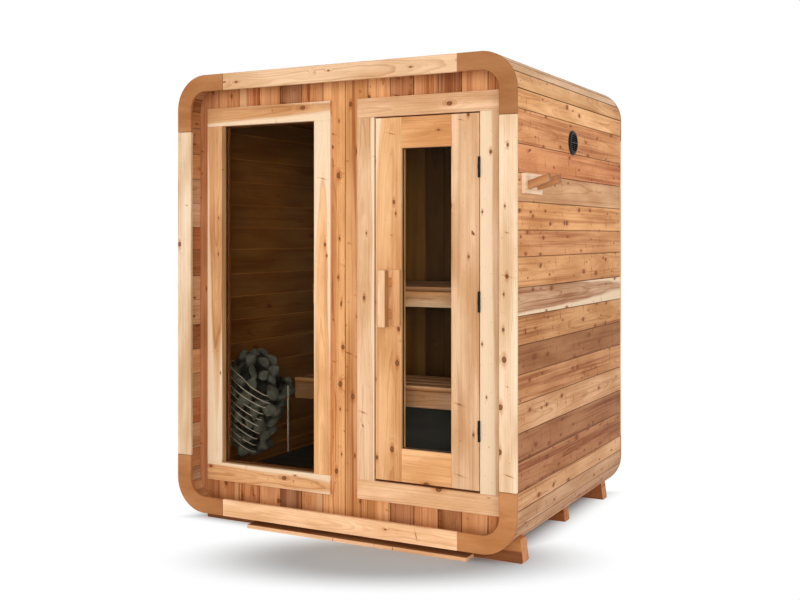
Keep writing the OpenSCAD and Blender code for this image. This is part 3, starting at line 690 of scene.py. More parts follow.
wallBoards = {
    "groove": 2.6 * mm, "gap": 0.45 * mm, "seat": 0.4 * mm,
    "frontJoints": (-962, -830, -692, -556, -419, -283, -150, -14, 122, 254, 388, 523, 652,
                    793, 926, 962),
    # the back wall's inside faces carry painted shade, darker from darkFrom on
    "backPitch": 137 * mm, "darkFrom": -260 * mm, "lightInside": 0.50, "darkInside": 0.20,
}
frontLooks = [  # from the left
    look("brown", "rift", 0.6, 0.6, 1.25), look("tawny", "rift", 0.5, 0.8, 1.02),
    look("orange", "flat", 0.6, 0.9, sap="side"), look("tawny", "rift", 0.6, 0.6, 1.05),
    look("umber", "flat", 0.7, 0.9), look("tawny", "flat", 0.5, 0.8, 1.05, sap="side"),
    look("golden", "flat", 0.8, 0.5, 1.06), look("golden", "rift", 0.7, 0.9, 0.94),
    look("golden", "flat", 0.7, 0.5, 1.02), look("brown", "rift", 0.6, 0.8, 1.1),
    look("tawny", "flat", 0.5, 0.7, 1.05, sap="side"), look("brown", "flat", 0.8, 0.9),
    look("tawny", "rift", 0.5, 0.7, 1.1), look("russet", "flat", 0.6, 0.8, 1.1),
    look("tawny", "rift", 0.5, 0.6)]


def arcReach(away, r):  # how far a corner's arc of radius r reaches, away past its middle
    return r if away <= 0 else math.sqrt(max(r * r - away * away, 0.0))


def endHeight(x):  # how far past the straight sides the inside of the hull reaches at x
    return arcReach(abs(x) - straightHalf, cornerR - staveThick - wallBoards["seat"])


def addWallBoard(boards, part, ends, boardX, y0, y1, how, cutting, innerSide):
    # the part of one board between two x, whose ends follow the hull where ends has None
    b, (x0, x1), (z0, z1) = wallBoards, part, ends
    e, stops = b["groove"], [x0]
    while stops[-1] + 14 * mm < x1 and (abs(x0) > straightHalf or abs(x1) > straightHalf):
        stops.append(stops[-1] + 12 * mm)
    stops.append(x1)
    shape = [(x, straightBottom - endHeight(x) if z0 is None else z0) for x in stops]
    shape += [(x, straightTop + endHeight(x) if z1 is None else z1) for x in reversed(stops)]
    left, right = boardX[0] + b["gap"], boardX[1] - b["gap"]
    loops = [[(min(max(x, left + inset), right - inset), y, z) for x, z in shape]
             for y, inset in ((y0, e), (y0 + e, 0.0), (y1 - e, 0.0), (y1, e))]
    mid, middle = sum(boardX) / 2, (y0 + y1) / 2
    seamY = middle - innerSide * ((y1 - y0) / 2 - e)
    # faces inside the cabin in painted shade, and the chamfers and sides at the joints darkened,
    # painted shade in the gaps
    addSolid(boards, loops, lambda p: (p[2] - 1.2, p[0] - mid, p[1] - middle), how, cutting,
             lambda p: 1 if (p[1] - middle) * innerSide > 0 else
             2 if abs(p[1] - seamY) < hair else 0)


def buildFrontWall():
    b, boards = wallBoards, newBoards(41, 0.2)
    joints = [x * mm for x in b["frontJoints"]]
    joints[-1] = hullHalf - staveThick - b["seat"]
    joints[0] = -joints[-1]
    lining = windowOpen[0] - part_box("window_lining")[0].x
    holes = [grown(opening, lining) for opening in (windowOpen, doorOpen)]
    for board, how in zip(zip(joints, joints[1:]), frontLooks):
        cutting = cutOf(boards, how, board[1] - board[0], wallBack - wallFront)
        stops = sorted({*board, *[x for h in holes for x in h[:2] if board[0] < x < board[1]]})
        for part in zip(stops, stops[1:]):
            inside = [h for h in holes if h[0] - 1e-6 <= part[0] and part[1] <= h[1] + 1e-6]
            for ends in [(None, inside[0][2]), (inside[0][3], None)] if inside else [(None, None)]:
                addWallBoard(boards, part, ends, board, wallFront, wallBack, how, cutting, 1)
    return boards


def buildBackWall():
    b, boards, (lo, hi) = wallBoards, newBoards(43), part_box("back_wall")
    count = round((hi.x - lo.x) / b["backPitch"])
    half = hullHalf - staveThick - b["seat"]
    joints = [-half + 2 * half * k / count for k in range(count + 1)]
    for board in zip(joints, joints[1:]):
        how = dict(boards["rng"].choice(mixedLooks),
                   inner=b["lightInside"] if board[1] < b["darkFrom"] else b["darkInside"])
        cutting = cutOf(boards, how, board[1] - board[0], hi.y - lo.y)
        addWallBoard(boards, board, (None, None), board, lo.y, hi.y, how, cutting, -1)
    return boards


setDown(buildFrontWall(), "frontWallBoards", wallCedar, "wall_cedar",
        "front_wall_left", "front_wall_over_window", "front_wall_under_window",
        "front_wall_middle", "front_wall_over_door", "front_wall_under_door",
        "front_wall_right")
setDown(buildBackWall(), "backWallBoards", wallCedar, "wall_cedar", "back_wall")
print("walls done")

# trim around the openings

trimBoards = {"edge": 1.4 * mm, "seam": 0.2 * mm}
trimLooks = {  # top, bottom, left, right
    "window": [look("honey", "flat", knots, 0.3, shade, sap="edges") for knots, shade in
               ((0.4, 0.86), (0.6, 0.98), (0.5, 0.88), (0.35, 1.03))],
    "door": (look("pale", "flat", 0.3, 0.35, 1.04),
             look("pale", "rift", 0.35, 0.35, 1.16),
             look("pale", "flat", 0.4, 0.2, sap="side"),
             look("pale", "rift", 0.6, 0.3, 0.97, sap="side"))}


def buildTrim(kind, opening, seed):
    (x0, x1, z0, z1), (lo, hi) = opening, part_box(kind + "_trim_rails")
    e, seam, looks = trimBoards["edge"], trimBoards["seam"], trimLooks[kind]
    rails, sides = newBoards(seed), newBoards(seed + 1)
    addBoard(rails, (lo.x, lo.y, z1), hi, 0, looks[0], e)
    addBoard(rails, lo, (hi.x, hi.y, z0), 0, looks[1], e)
    addBoard(sides, (lo.x, lo.y, z0 + seam), (x0, hi.y, z1 - seam), 2, looks[2], e)
    addBoard(sides, (x1, lo.y, z0 + seam), (hi.x, hi.y, z1 - seam), 2, looks[3], e)
    setDown(rails, kind + "TrimRails", trimCedar, "trim_cedar", kind + "_trim_rails")
    setDown(sides, kind + "TrimSides", trimCedar, "trim_cedar", kind + "_trim_sides")


buildTrim("window", windowOpen, 50)
buildTrim("door", doorOpen, 60)


def frameBlocks(outer, inner, y0, y1):  # four bars between two (x0, x1, z0, z1)
    ox0, ox1, oz0, oz1 = outer
    ix0, ix1, iz0, iz1 = inner
    return [((ox0, y0, iz1), (ox1, y1, oz1)), ((ox0, y0, oz0), (ox1, y1, iz0)),
            ((ox0, y0, iz0), (ix0, y1, iz1)), ((ix1, y0, iz0), (ox1, y1, iz1))]


def addFrame(boards, outer, inner, y0, y1, how):
    for k, (lo, hi) in enumerate(frameBlocks(outer, inner, y0, y1)):
        addBoard(boards, lo, hi, 0 if k < 2 else 2, how, 0.8 * mm)


# window: lining, two panes and their spacer

windowParts = {"pane": 4 * mm, "bead": 5 * mm, "beadDeep": 14 * mm, "spacerWide": 8 * mm,
               "rebate": 8 * mm, "play": 0.2 * mm}


def buildLining():
    b, boards, how = windowParts, newBoards(70), look("golden", "rift", 0.2, 0.2, 0.9)
    lo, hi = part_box("window_lining")
    glass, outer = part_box("window_glass"), faceOf("window_lining")
    front, rear = glass[0].y - b["play"], glass[1].y + b["play"]
    addFrame(boards, outer, windowOpen, lo.y, front, how)
    addFrame(boards, outer, grown(windowOpen, b["rebate"]), front, rear, how)
    addFrame(boards, outer, windowOpen, rear, hi.y, how)
    # the bead inside the cabin in dark cocoa, painted shade
    addFrame(boards, windowOpen, grown(windowOpen, -b["bead"]), rear + b["play"],
             rear + b["beadDeep"], look("cocoa", "rift", 0.1, 0.1, 1.2))
    return boards


setDown(buildLining(), "windowLining", trimCedar, "trim_cedar", "window_lining")
print("trim and lining done")

# Geometry Nodes: runs of boards, screws, louvres, rods, stones

def newScatter(name, **inputs):  # a group, and close, its last step, which sets the material
    tree, add, into, out = newGroup(
        name, "GeometryNodeTree",
        {"Geometry": "Geometry", **{key.replace("_", " "): kind for key, kind in inputs.items()},
         "Material": "Material"}, {"Geometry": "Geometry"})

    def close(last):
        add.fill(out, {"Geometry": add("GeometryNodeSetMaterial", {
            "Geometry": last, "Material": into["Material"]})})
        return tree
    return add, into, close


def seedable(add, seed, lo, hi, kind="FLOAT_VECTOR"):
    keys = (0, 1) if kind == "FLOAT_VECTOR" else (2, 3)
    made = add("FunctionNodeRandomValue", {keys[0]: lo, keys[1]: hi, 8: seed}, data_type=kind)
    return made.outputs[0 if kind == "FLOAT_VECTOR" else 1]


def buildBoardRun():  # repeats one board, each copy from another place in the tree
    add, into, close = newScatter("boardRun", Count="Int", Step="Vector", Seed="Int",
                                  Tone_spread="Float")

    def named(name, kind="FLOAT_VECTOR"):
        return add("GeometryNodeInputNamedAttribute", {"Name": name}, data_type=kind)

    def stored(geometry, name, value, kind="FLOAT_VECTOR", domain="POINT"):
        return add("GeometryNodeStoreNamedAttribute", {
            "Geometry": geometry, "Name": name, "Value": value}, data_type=kind, domain=domain)
    line = add("GeometryNodeMeshLine", {"Count": into["Count"], "Offset": into["Step"]},
               mode="OFFSET")
    copies = add("GeometryNodeInstanceOnPoints", {"Points": line, "Instance": into["Geometry"]})
    last = stored(copies, "draw", seedable(add, into["Seed"], (-1, -1, -1), (1, 1, 1)),
                  domain="INSTANCE")
    last = add("GeometryNodeRealizeInstances", {"Geometry": last})
    draw = named("draw")
    shade = add.timesPlus(add.split(draw)[1], into["Tone spread"], 1.0)
    last = stored(last, "grain",
                  add.vector("MULTIPLY_ADD", draw, (17.0, 0.03, 0.02), named("grain")))
    last = stored(last, "tone", add.scaled(named("tone", "FLOAT_COLOR"), shade), "FLOAT_COLOR")
    return close(add("GeometryNodeRemoveAttribute", {"Geometry": last, "Name": "draw"}))


def buildScrewScatter():  # a low round head on every point, along its aim
    add, into, close = newScatter("screwScatter", Radius="Float", Height="Float", Seed="Int")
    head = add("GeometryNodeMeshCone", {
        "Vertices": 10, "Radius Top": add.times(into["Radius"], 0.72),
        "Radius Bottom": into["Radius"], "Depth": into["Height"]})
    aim = add("GeometryNodeInputNamedAttribute", {"Name": "aim"}, data_type="FLOAT_VECTOR")
    heads = add("GeometryNodeInstanceOnPoints", {
        "Points": into["Geometry"], "Instance": head,
        "Rotation": add("FunctionNodeAlignRotationToVector", {"Vector": aim}, axis="Z"),
        "Scale": seedable(add, into["Seed"], 0.9, 1.08, "FLOAT")})
    return close(add("GeometryNodeRealizeInstances", {"Geometry": heads}))


def buildLouvreRun():  # tilted blades across a round opening, each as long as its chord
    add, into, close = newScatter("louvreRun", Count="Int", Radius="Float", Deep="Float",
                                  Thick="Float", Tilt="Float", Place="Vector")

    def joined(**parts):
        return add("ShaderNodeCombineXYZ", parts)
    span = add.times(into["Radius"], 1.84)
    line = add("GeometryNodeMeshLine", {
        "Count": into["Count"], "Start Location": joined(Z=add.times(span, -0.5)),
        "Offset": joined(Z=add.over(span, add.less(into["Count"], 1.0)))}, mode="OFFSET")
    height = add.split(add("GeometryNodeInputPosition"))[2]
    chord = add.calc("SQRT", add.less(add.times(into["Radius"], into["Radius"]),
                                      add.times(height, height)))
    blades = add("GeometryNodeInstanceOnPoints", {
        "Points": line, "Instance": add("GeometryNodeMeshCube", {"Size": (1, 1, 1)}),
        "Rotation": joined(Y=into["Tilt"]),
        "Scale": joined(X=into["Deep"], Y=add.times(chord, 2.0), Z=into["Thick"])})
    real = add("GeometryNodeRealizeInstances", {"Geometry": blades})
    return close(add("GeometryNodeTransform", {"Geometry": real, "Translation": into["Place"]}))


def buildRodSweep():  # turns runs of edges into round rods
    add, into, close = newScatter("rodSweep", Radius="Float")
    tube = add("GeometryNodeCurveToMesh", {
        "Curve": add("GeometryNodeMeshToCurve", {"Mesh": into["Geometry"]}),
        "Profile Curve": add("GeometryNodeCurvePrimitiveCircle", {
            "Resolution": 8, "Radius": into["Radius"]}), "Fill Caps": True})
    return close(add("GeometryNodeSetShadeSmooth", {"Geometry": tube}))


def buildStoneHeap():  # one of several stones on every point, turned and sized by chance
    add, into, close = newScatter("stoneHeap", Stones="Collection", Smallest="Float",
                                  Largest="Float", Seed="Int")
    kinds = add("GeometryNodeCollectionInfo", {
        "Collection": into["Stones"], "Separate Children": True, "Reset Children": True})
    stones = add("GeometryNodeInstanceOnPoints", {
        "Points": into["Geometry"], "Instance": kinds, "Pick Instance": True,
        "Instance Index": add("GeometryNodeInputIndex"),
        "Rotation": seedable(add, into["Seed"], (0, 0, 0), (6.28, 6.28, 6.28)),
        "Scale": seedable(add, into["Seed"], into["Smallest"], into["Largest"], "FLOAT")})
    return close(add("GeometryNodeRealizeInstances", {"Geometry": stones}))


boardRun, screwScatter, louvreRun = buildBoardRun(), buildScrewScatter(), buildLouvreRun()
rodSweep, stoneHeap = buildRodSweep(), buildStoneHeap()


def grow(obj, tree, **values):  # runs a tree on an object and keeps its result as a plain mesh
    worker = obj.modifiers.new(tree.name, "NODES")
    worker.node_group = tree
    for item in tree.interface.items_tree:
        key = item.name.replace(" ", "_").lower()
        if item.in_out == "INPUT" and key in values:
            worker[item.identifier] = values[key]
    made = plainMesh(obj)
    obj.modifiers.remove(worker)
    old, obj.data = obj.data, made
    bpy.data.meshes.remove(old)


# metal, glass, stone and deck finishes

def buildWearGroup():  # soft mottling, fine speckle and a height, for metal, stone and deck
    tree, add, into, out = newGroup(
        "surfaceWear", "ShaderNodeTree",
        {"Vector": "Vector", "Coarse": "Float", "Fine": "Float", "Stretch": "Vector",
         "Base": "Color", "Worn": "Color", "Speckle": "Color", "Speckle amount": "Float",
         "Rough low": "Float", "Rough high": "Float"},
        {"Colour": "Color", "Roughness": "Float", "Height": "Float"})
    laid = add.vector("MULTIPLY", into["Vector"], into["Stretch"])
    coarse, fine = (add("ShaderNodeTexNoise", {
        "Vector": laid, "Scale": into[scale], "Detail": detail, "Roughness": rough})
        for scale, detail, rough in (("Coarse", 4.0, 0.6), ("Fine", 3.0, 0.65)))
    grains = add("ShaderNodeTexVoronoi", {"Vector": laid, "Scale": add.times(into["Fine"], 0.6)})
    dots = add.times(add.spread(grains.outputs["Distance"], 0.32, 0.12), into["Speckle amount"])
    colour = add.mix(add.spread(coarse, 0.36, 0.66), into["Base"], into["Worn"])
    add.fill(out, {
        "Colour": add.mix(dots, colour, into["Speckle"]),
        "Roughness": add("ShaderNodeMapRange", {0: fine, 1: 0.3, 2: 0.7, 3: into["Rough low"],
                                                4: into["Rough high"]}),
        "Height": add.timesPlus(fine, 0.6, add.times(coarse, 0.8))})
    return tree


wearGroup = buildWearGroup()


def worn(name, base, wornTo, speckle, amount, coarse, fine, rough, metal=0.0, relief=0.1,
         stretch=(1, 1, 1), shine=0.5):
    material, add, surface = newMaterial(name, Metallic=metal, Specular_IOR_Level=shine)
    wear = add("ShaderNodeGroup", {
        "Vector": add("ShaderNodeTexCoord").outputs["Object"], "Coarse": coarse, "Fine": fine,
        "Stretch": stretch, "Base": (*base, 1), "Worn": (*wornTo, 1), "Speckle": (*speckle, 1),
        "Speckle amount": amount, "Rough low": rough[0], "Rough high": rough[1]},
        node_tree=wearGroup)
    coat(add, surface, wear, 0.6, relief)
    return material


blackMetal = worn("blackMetal", (0.005,) * 3, (0.010,) * 3, (0.035,) * 3, 0.12, 18, 420,
                  (0.42, 0.6), relief=0.06, shine=0.22)
screwSteel = worn("screwSteel", (0.035, 0.026, 0.022), (0.07, 0.05, 0.04), (0.12, 0.10, 0.08),
                  0.3, 60, 900, (0.35, 0.6), 0.7, 0.05)
brushedSteel = worn("brushedSteel", (0.62, 0.62, 0.60), (0.50, 0.50, 0.49), (0.72, 0.72, 0.70),
                    0.2, 12, 500, (0.22, 0.36), 1.0, 0.04, (1, 1, 0.08))
# the near-white base is partly the steel's own colour and partly a painted highlight that keeps
# the thin rods bright all round
hoopSteel = worn("hoopSteel", (0.86, 0.84, 0.80), (0.78, 0.76, 0.72), (0.9, 0.9, 0.88),
                 0.2, 12, 500, (0.3, 0.45), 0.35, 0.03)
darkDeck = worn("darkDeck", (0.030, 0.031, 0.026), (0.045, 0.046, 0.040), (0.07, 0.07, 0.062),
                0.3, 9, 320, (0.6, 0.85), relief=0.3, stretch=(0.25, 1, 1))
rubberSeal = worn("rubberSeal", (0.012,) * 3, (0.02,) * 3, (0.03,) * 3, 0.2, 30, 500,
                  (0.6, 0.8), relief=0.05)
spacerBronze = worn("spacerBronze", (0.10, 0.062, 0.035), (0.14, 0.088, 0.05),
                    (0.20, 0.13, 0.08), 0.2, 20, 400, (0.4, 0.5), 0.4, 0.03)
saunaStone = worn("saunaStone", (0.11, 0.132, 0.145), (0.19, 0.22, 0.235), (0.30, 0.325, 0.34),
                  0.4, 30, 240, (0.7, 0.9), relief=1.2)
stoneHollows = {"from": 20 * mm, "to": 44 * mm, "tone": 0.16}  # painted shade, darker deeper in the heap
inStone = Adder(saunaStone.node_tree)
stoneSkin = saunaStone.node_tree.nodes["Principled BSDF"].inputs
hollow = inStone("ShaderNodeMapRange", {
    0: inStone("ShaderNodeAttribute", attribute_name="depth").outputs["Fac"],
    1: stoneHollows["from"], 2: stoneHollows["to"], 3: 1.0, 4: stoneHollows["tone"]})
inStone.fill(stoneSkin, {
    "Base Color": inStone.scaled(stoneSkin["Base Color"].links[0].from_socket, hollow)})


def outputOf(tree):  # the sockets of a material's output
    return next(n for n in tree.nodes if n.type == "OUTPUT_MATERIAL").inputs


def tintedGlass(name, tint):  # clear to shadow rays, so that lamps light what is behind it
    material, add, surface = newMaterial(name, Base_Color=(*tint, 1), Roughness=0.0, IOR=1.06,
                                         Transmission_Weight=1.0)
    clear = add("ShaderNodeBsdfTransparent", {"Color": (*tint, 1)})
    both = add("ShaderNodeMixShader", {0: add("ShaderNodeLightPath").outputs["Is Shadow Ray"],
                                       1: surface, 2: clear})
    add.fill(outputOf(material.node_tree), {"Surface": both})
    haze = add("ShaderNodeTexNoise", {"Vector": add("ShaderNodeTexCoord").outputs["Object"],
                                      "Scale": 3.0, "Detail": 2.0})
    bump = add("ShaderNodeBump", {"Height": haze, "Strength": 0.12, "Distance": 0.4 * mm})
    add.fill(surface.inputs, {"Normal": bump})
    return material


clearGlass = tintedGlass("clearGlass", (0.95, 0.93, 0.88))
bronzeGlass = tintedGlass("bronzeGlass", (0.78, 0.745, 0.68))


def blocksObject(name, blocks, material, bevel=0.0):
    verts, faces = [], []
    for lo, hi in blocks:
        start = len(verts)
        verts += [(x, y, z) for z in (lo[2], hi[2]) for y in (lo[1], hi[1])
                  for x in (lo[0], hi[0])]
        faces += [tuple(start + i for i in face) for face in (
            (0, 2, 3, 1), (4, 5, 7, 6), (0, 1, 5, 4), (2, 6, 7, 3), (0, 4, 6, 2), (1, 3, 7, 5))]
    obj = meshObject(name, verts, faces, material)
    if bevel:
        work = bmesh.new()
        work.from_mesh(obj.data)
        bmesh.ops.bevel(work, geom=work.edges, offset=bevel, segments=2, profile=0.5,
                        affect="EDGES", clamp_overlap=True)
        work.to_mesh(obj.data)
        work.free()
    return obj


def buildPanes():  # two panes with a spacer between them
    b, slab, (lo, hi) = windowParts, faceOf("window_glass"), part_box("window_glass")
    front, rear = lo.y + b["pane"], hi.y - b["pane"]
    place(blocksObject("windowPanes", [(lo, (hi.x, front, hi.z)), ((lo.x, rear, lo.z), hi)],
                       bronzeGlass, 0.5 * mm), "cabin", "pane", "window_glass")
    place(blocksObject("windowSpacer", frameBlocks(
        slab, grown(slab, -b["spacerWide"]), front + b["play"], rear - b["play"]),
        spacerBronze), "cabin", "steel")


buildPanes()
print("window done")

# doorway and door leaf

doorParts = {
    "edge": 1.6 * mm, "glassBite": 8 * mm, "seam": 0.25 * mm, "hingeInset": 0.4 * mm,
    "sealWide": 3.2 * mm, "sealDeep": 1.6 * mm, "sealGap": 0.05 * mm, "handleEdge": 2.2 * mm,
    "handleBar": 42 * mm, "handlePlate": 19 * mm, "stop": 19 * mm, "stopGap": 1.2 * mm,
}


def buildJamb():
    b, boards, (lo, hi) = doorParts, newBoards(80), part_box("door_jamb")
    clear = (doorOpen[0], doorOpen[1] + b["hingeInset"], *doorOpen[2:])
    addFrame(boards, faceOf("door_jamb"), clear, lo.y, hi.y, look("nut", "rift", 0.2, 0.2, 0.8))
    addFrame(boards, clear, grown(doorOpen, -b["stop"]),
             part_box("door_stile_left")[1].y + b["stopGap"], hi.y,
             look("nut", "rift", 0.2, 0.2, 0.9))
    return boards


def addGrooved(boards, lo, hi, along, grooved, how):
    # a leaf board with the groove for the glass in its low (-1) or high (1) side
    glass, bite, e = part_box("door_glass"), doorParts["glassBite"], doorParts["edge"]
    y0, y1, gy0, gy1 = lo.y, hi.y, glass[0].y - 0.3 * mm, glass[1].y + 0.3 * mm
    across = 2 - along
    near, far = (lo[across], hi[across])[::grooved]
    ease, bite = e * grooved, bite * grooved
    section = [(near + ease, y0), (far - ease, y0), (far, y0 + e), (far, gy0),
               (far - bite, gy0), (far - bite, gy1), (far, gy1), (far, y1 - e),
               (far - ease, y1), (near + ease, y1), (near, y1 - e), (near, y0 + e)]
    loops = [[(u, y, a) if along == 0 else (a, y, u) for a, y in section]
             for u in (lo[along], hi[along])]
    mid = (lo + hi) / 2
    addSolid(boards, loops, lambda p: (p[along] - mid[along], p[across] - mid[across],
                                       p[1] - mid.y), how,
             cutOf(boards, how, abs(far - near), y1 - y0))


def buildLeaf():
    b = doorParts
    parts = {
        "StileLeft": (2, 1, look("honey", "flat", 0.5, 0.35, 0.95, sap="side")),
        "StileRight": (2, -1, look("pale", "rift", 0.5, 0.35, 0.98)),
        "RailTop": (0, -1, look("golden", "flat", 0.4)),
        "RailBottom": (0, 1, look("honey", "flat", 0.4, 0.3, 1.08))}
    for k, (name, (along, grooved, how)) in enumerate(parts.items()):
        node = "door" + "".join("_" + c.lower() if c.isupper() else c for c in name)
        lo, hi = (v.copy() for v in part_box(node))
        if along == 0:
            lo.x, hi.x = lo.x + b["seam"], hi.x - b["seam"]
        if name == "StileRight":
            hi.x -= b["hingeInset"]
        boards = newBoards(90 + k)
        addGrooved(boards, lo, hi, along, grooved, how)
        setDown(boards, "door" + name, doorCedar, "door_cedar", node, body="door")


def buildSeal():  # a rubber rim round both faces of the glass
    wide, deep, gap = (doorParts["seal" + key] for key in ("Wide", "Deep", "Gap"))
    daylight = (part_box("door_stile_left")[1].x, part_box("door_stile_right")[0].x,
                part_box("door_rail_bottom")[1].z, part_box("door_rail_top")[0].z)
    face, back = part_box("door_glass")
    blocks = [block for y0, y1 in ((face.y - deep, face.y - gap), (back.y + gap, back.y + deep))
              for block in frameBlocks(daylight, grown(daylight, -wide), y0, y1)]
    place(blocksObject("doorSeal", blocks, rubberSeal), "door", "black_metal")


def buildHandle():
    lo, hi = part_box("door_handle")
    boards, e, bar = newBoards(97), doorParts["handleEdge"], doorParts["handleBar"]
    x0, x1 = (lo.x + hi.x) / 2 - bar / 2, (lo.x + hi.x) / 2 + bar / 2
    plateFront, barBack = hi.y - doorParts["handlePlate"], lo.y + bar
    addBoard(boards, (lo.x, plateFront, lo.z), (hi.x, hi.y - hair, hi.z), 2,
             look("honey", "flat", 0.3), e)
    # the bar's right side face in tawny and the standoffs' undersides in umber, painted shade
    addBoard(boards, (x0, lo.y, lo.z), (x1, barBack, hi.z), 2,
             look("pale", "rift", 0.2, 0.2, 1.08, 1.0, "tawny"), e, 1,
             lambda p: int(p[0] > x1 - hair))
    for z in (lo.z + bar, hi.z - 2 * bar):
        addBoard(boards, (x0 + 1 * mm, barBack - e, z), (x1 - 1 * mm, plateFront + e, z + bar), 1,
                 look("golden", "rift", 0.2, 0.2, 1.0, 1.0, "umber"), 1 * mm, 1,
                 lambda p, z=z: int(p[2] < z + hair))
    return boards


setDown(buildJamb(), "doorJamb", trimCedar, "trim_cedar", "door_jamb")
buildLeaf()
place(blocksObject("doorGlass", [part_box("door_glass")], clearGlass, 0.5 * mm), "door", "pane",
      "door_glass")
buildSeal()
setDown(buildHandle(), "doorHandle", doorCedar, "door_cedar", "door_handle", body="door")
dress(blackMetal, "jamb_hinges", "door_hinges")
print("door done")

# vent, coat rack

ventParts = {"lip": 2.2 * mm, "flange": 12 * mm, "bore": 46 * mm, "spigot": 49.6 * mm,
             "blades": 9, "bladeDeep": 9 * mm, "bladeThick": 1.8 * mm, "tilt": 0.75,
             "turns": 64}


def lathe(name, profile, middle, material):
    # a closed profile of (distance along X, radius) turned about an axis along X
    verts, faces, n, turns = [], [], len(profile), ventParts["turns"]
    for k in range(turns):
        a, m = 2 * math.pi * k / turns, (k + 1) % turns
        verts += [(middle.x + d, middle.y + r * math.cos(a), middle.z + r * math.sin(a))
                  for d, r in profile]
        faces += [(k * n + i, k * n + (i + 1) % n, m * n + (i + 1) % n, m * n + i)
                  for i in range(n)]
    return meshObject(name, verts, faces, material, 40)


def buildVent():
    b = ventParts
    spigot, t, lip, bore = b["spigot"], b["flange"], b["lip"], b["bore"]
    outR, back = (ventHi.z - ventLo.z) / 2, ventLo.x - hullHalf
    place(lathe("ventRing", [
        (back, bore), (back, spigot), (hair, spigot), (hair, outR - 1 * mm),
        (2 * mm, outR), (5 * mm, outR), (t - 4 * mm, outR - 3 * mm), (t - 0.6 * mm, outR - 8 * mm),
        (t, outR - 10 * mm), (t, bore + lip), (t - lip, bore)], ventMid, blackMetal),
        "cabin", "black_metal", "vent_grille")
    blades = link(bpy.data.objects.new("ventBlades", bpy.data.meshes.new("ventBlades")))
    grow(blades, louvreRun, count=b["blades"], radius=bore - 0.2 * mm, deep=b["bladeDeep"],
         thick=b["bladeThick"], tilt=b["tilt"],
         place=(ventMid.x + t - 6.5 * mm, ventMid.y, ventMid.z), material=blackMetal)
    place(blades, "cabin", "black_metal")
    bars = [(ventMid + Vector((t - x0 * mm, -y, -z)), ventMid + Vector((t - x1 * mm, y, z)))
            for x0, x1, y, z in ((4, 1.2, 2 * mm, bore), (4.5, 0.7, bore, 3 * mm))]
    place(blocksObject("ventBars", bars, blackMetal, 0.5 * mm), "cabin", "black_metal")


buildVent()

rackParts = {"edge": 1.6 * mm, "peg": 38 * mm, "pegEdge": 1.4 * mm, "tilt": math.radians(18),
             "pitch": 129 * mm}


def buildRack():
    b, (lo, hi) = rackParts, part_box("coat_rack_board")
    board, pegs, (pegLo, pegHi) = newBoards(110), newBoards(111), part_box("coat_rack_pegs")
    addBoard(board, (lo.x + hair, lo.y, lo.z), hi, 1,
             look("cream", "flat", 0.2, 0.1), b["edge"], -1)
    s, tilt, e = b["peg"], b["tilt"], b["pegEdge"]
    how = look("tawny", "rift", 0.4, 0.4, 0.80, 0.9, "umber")
    ux, uz = math.cos(tilt), math.sin(tilt)
    long = (pegHi.x - pegLo.x) / ux
    for side in (-1, 1):
        y, loops = (lo.y + hi.y) / 2 + side * b["pitch"] / 2, []
        for u, inset in ((0.0, 0.0), (long - e, 0.0), (long, e)):
            plumb = 0.0 if u else math.tan(tilt)  # at the board, and square at the free end
            loops.append([(pegLo.x + (u + d * plumb) * ux - d * uz, y + c,
                           pegLo.z + (u + d * plumb) * uz + d * ux) for c, d in
                          octagon(-s / 2 + inset, s / 2 - inset, inset, s - inset, e)])

        def alongPeg(p):
            return (p[0] - pegLo.x) * ux + (p[2] - pegLo.z) * uz
        addSolid(pegs, loops, lambda p: (alongPeg(p), p[1] - y,
                                         (p[2] - pegLo.z) * ux - (p[0] - pegLo.x) * uz - s / 2),
                 how, cutOf(pegs, how, s, s), lambda p: int(alongPeg(p) > long - 0.2 * mm))
    setDown(board, "coatRackBoard", trimCedar, "trim_cedar", "coat_rack_board")
    setDown(pegs, "coatRackPegs", doorCedar, "corner_cedar", "coat_rack_pegs")


buildRack()
print("side fittings done")

# cradles and plank

cradleParts = {"seat": 0.3 * mm, "lean": 15 * mm, "height": 115 * mm, "seam": 57 * mm,
               "edge": 2.2 * mm, "chamfer": 9 * mm, "gap": 0.4 * mm, "steps": 8}


def underside(x):  # height of the seat under the hull's curve at x
    return straightBottom - arcReach(abs(x) - straightHalf, cornerR + cradleParts["seat"])


def seatReach(z):  # how far out the seat's curve is at height z
    return straightHalf + arcReach(straightBottom - z, cornerR + cradleParts["seat"])


def curveIn(x0, x1, count=10):
    return [(x, underside(x)) for x in (x0 + (x1 - x0) * k / count for k in range(count + 1))]


def addAlongY(boards, shape, y0, y1, how):
    # a flat outline in X and Z made solid, its edges eased, its front face painted darker for the
    # shade under the hull
    n, e = len(shape), cradleParts["edge"]
    midZ = sum(p[1] for p in shape) / n
    area = sum(shape[i - 1][0] * shape[i][1] - shape[i][0] * shape[i - 1][1] for i in range(n))
    eased = []
    for i in range(n):
        p, q, r = Vector(shape[i - 1]), Vector(shape[i]), Vector(shape[(i + 1) % n])
        a, b = (Vector((v.y, -v.x)).normalized() for v in (p - q, q - r))
        eased.append(q + math.copysign(e, area) * (a + b) / max(1e-6, 1 + a.dot(b)))
    loops = [[(x, y, z) for x, z in rim] for y, rim in (
        (y0, eased), (y0 + e, shape), (y1 - e, shape), (y1, eased))]
    addSolid(boards, loops, lambda p: (p[0], p[2] - midZ, p[1] - (y0 + y1) / 2), how,
             cutOf(boards, how, 0.11, y1 - y0), lambda p: int(p[1] < y0 + hair))


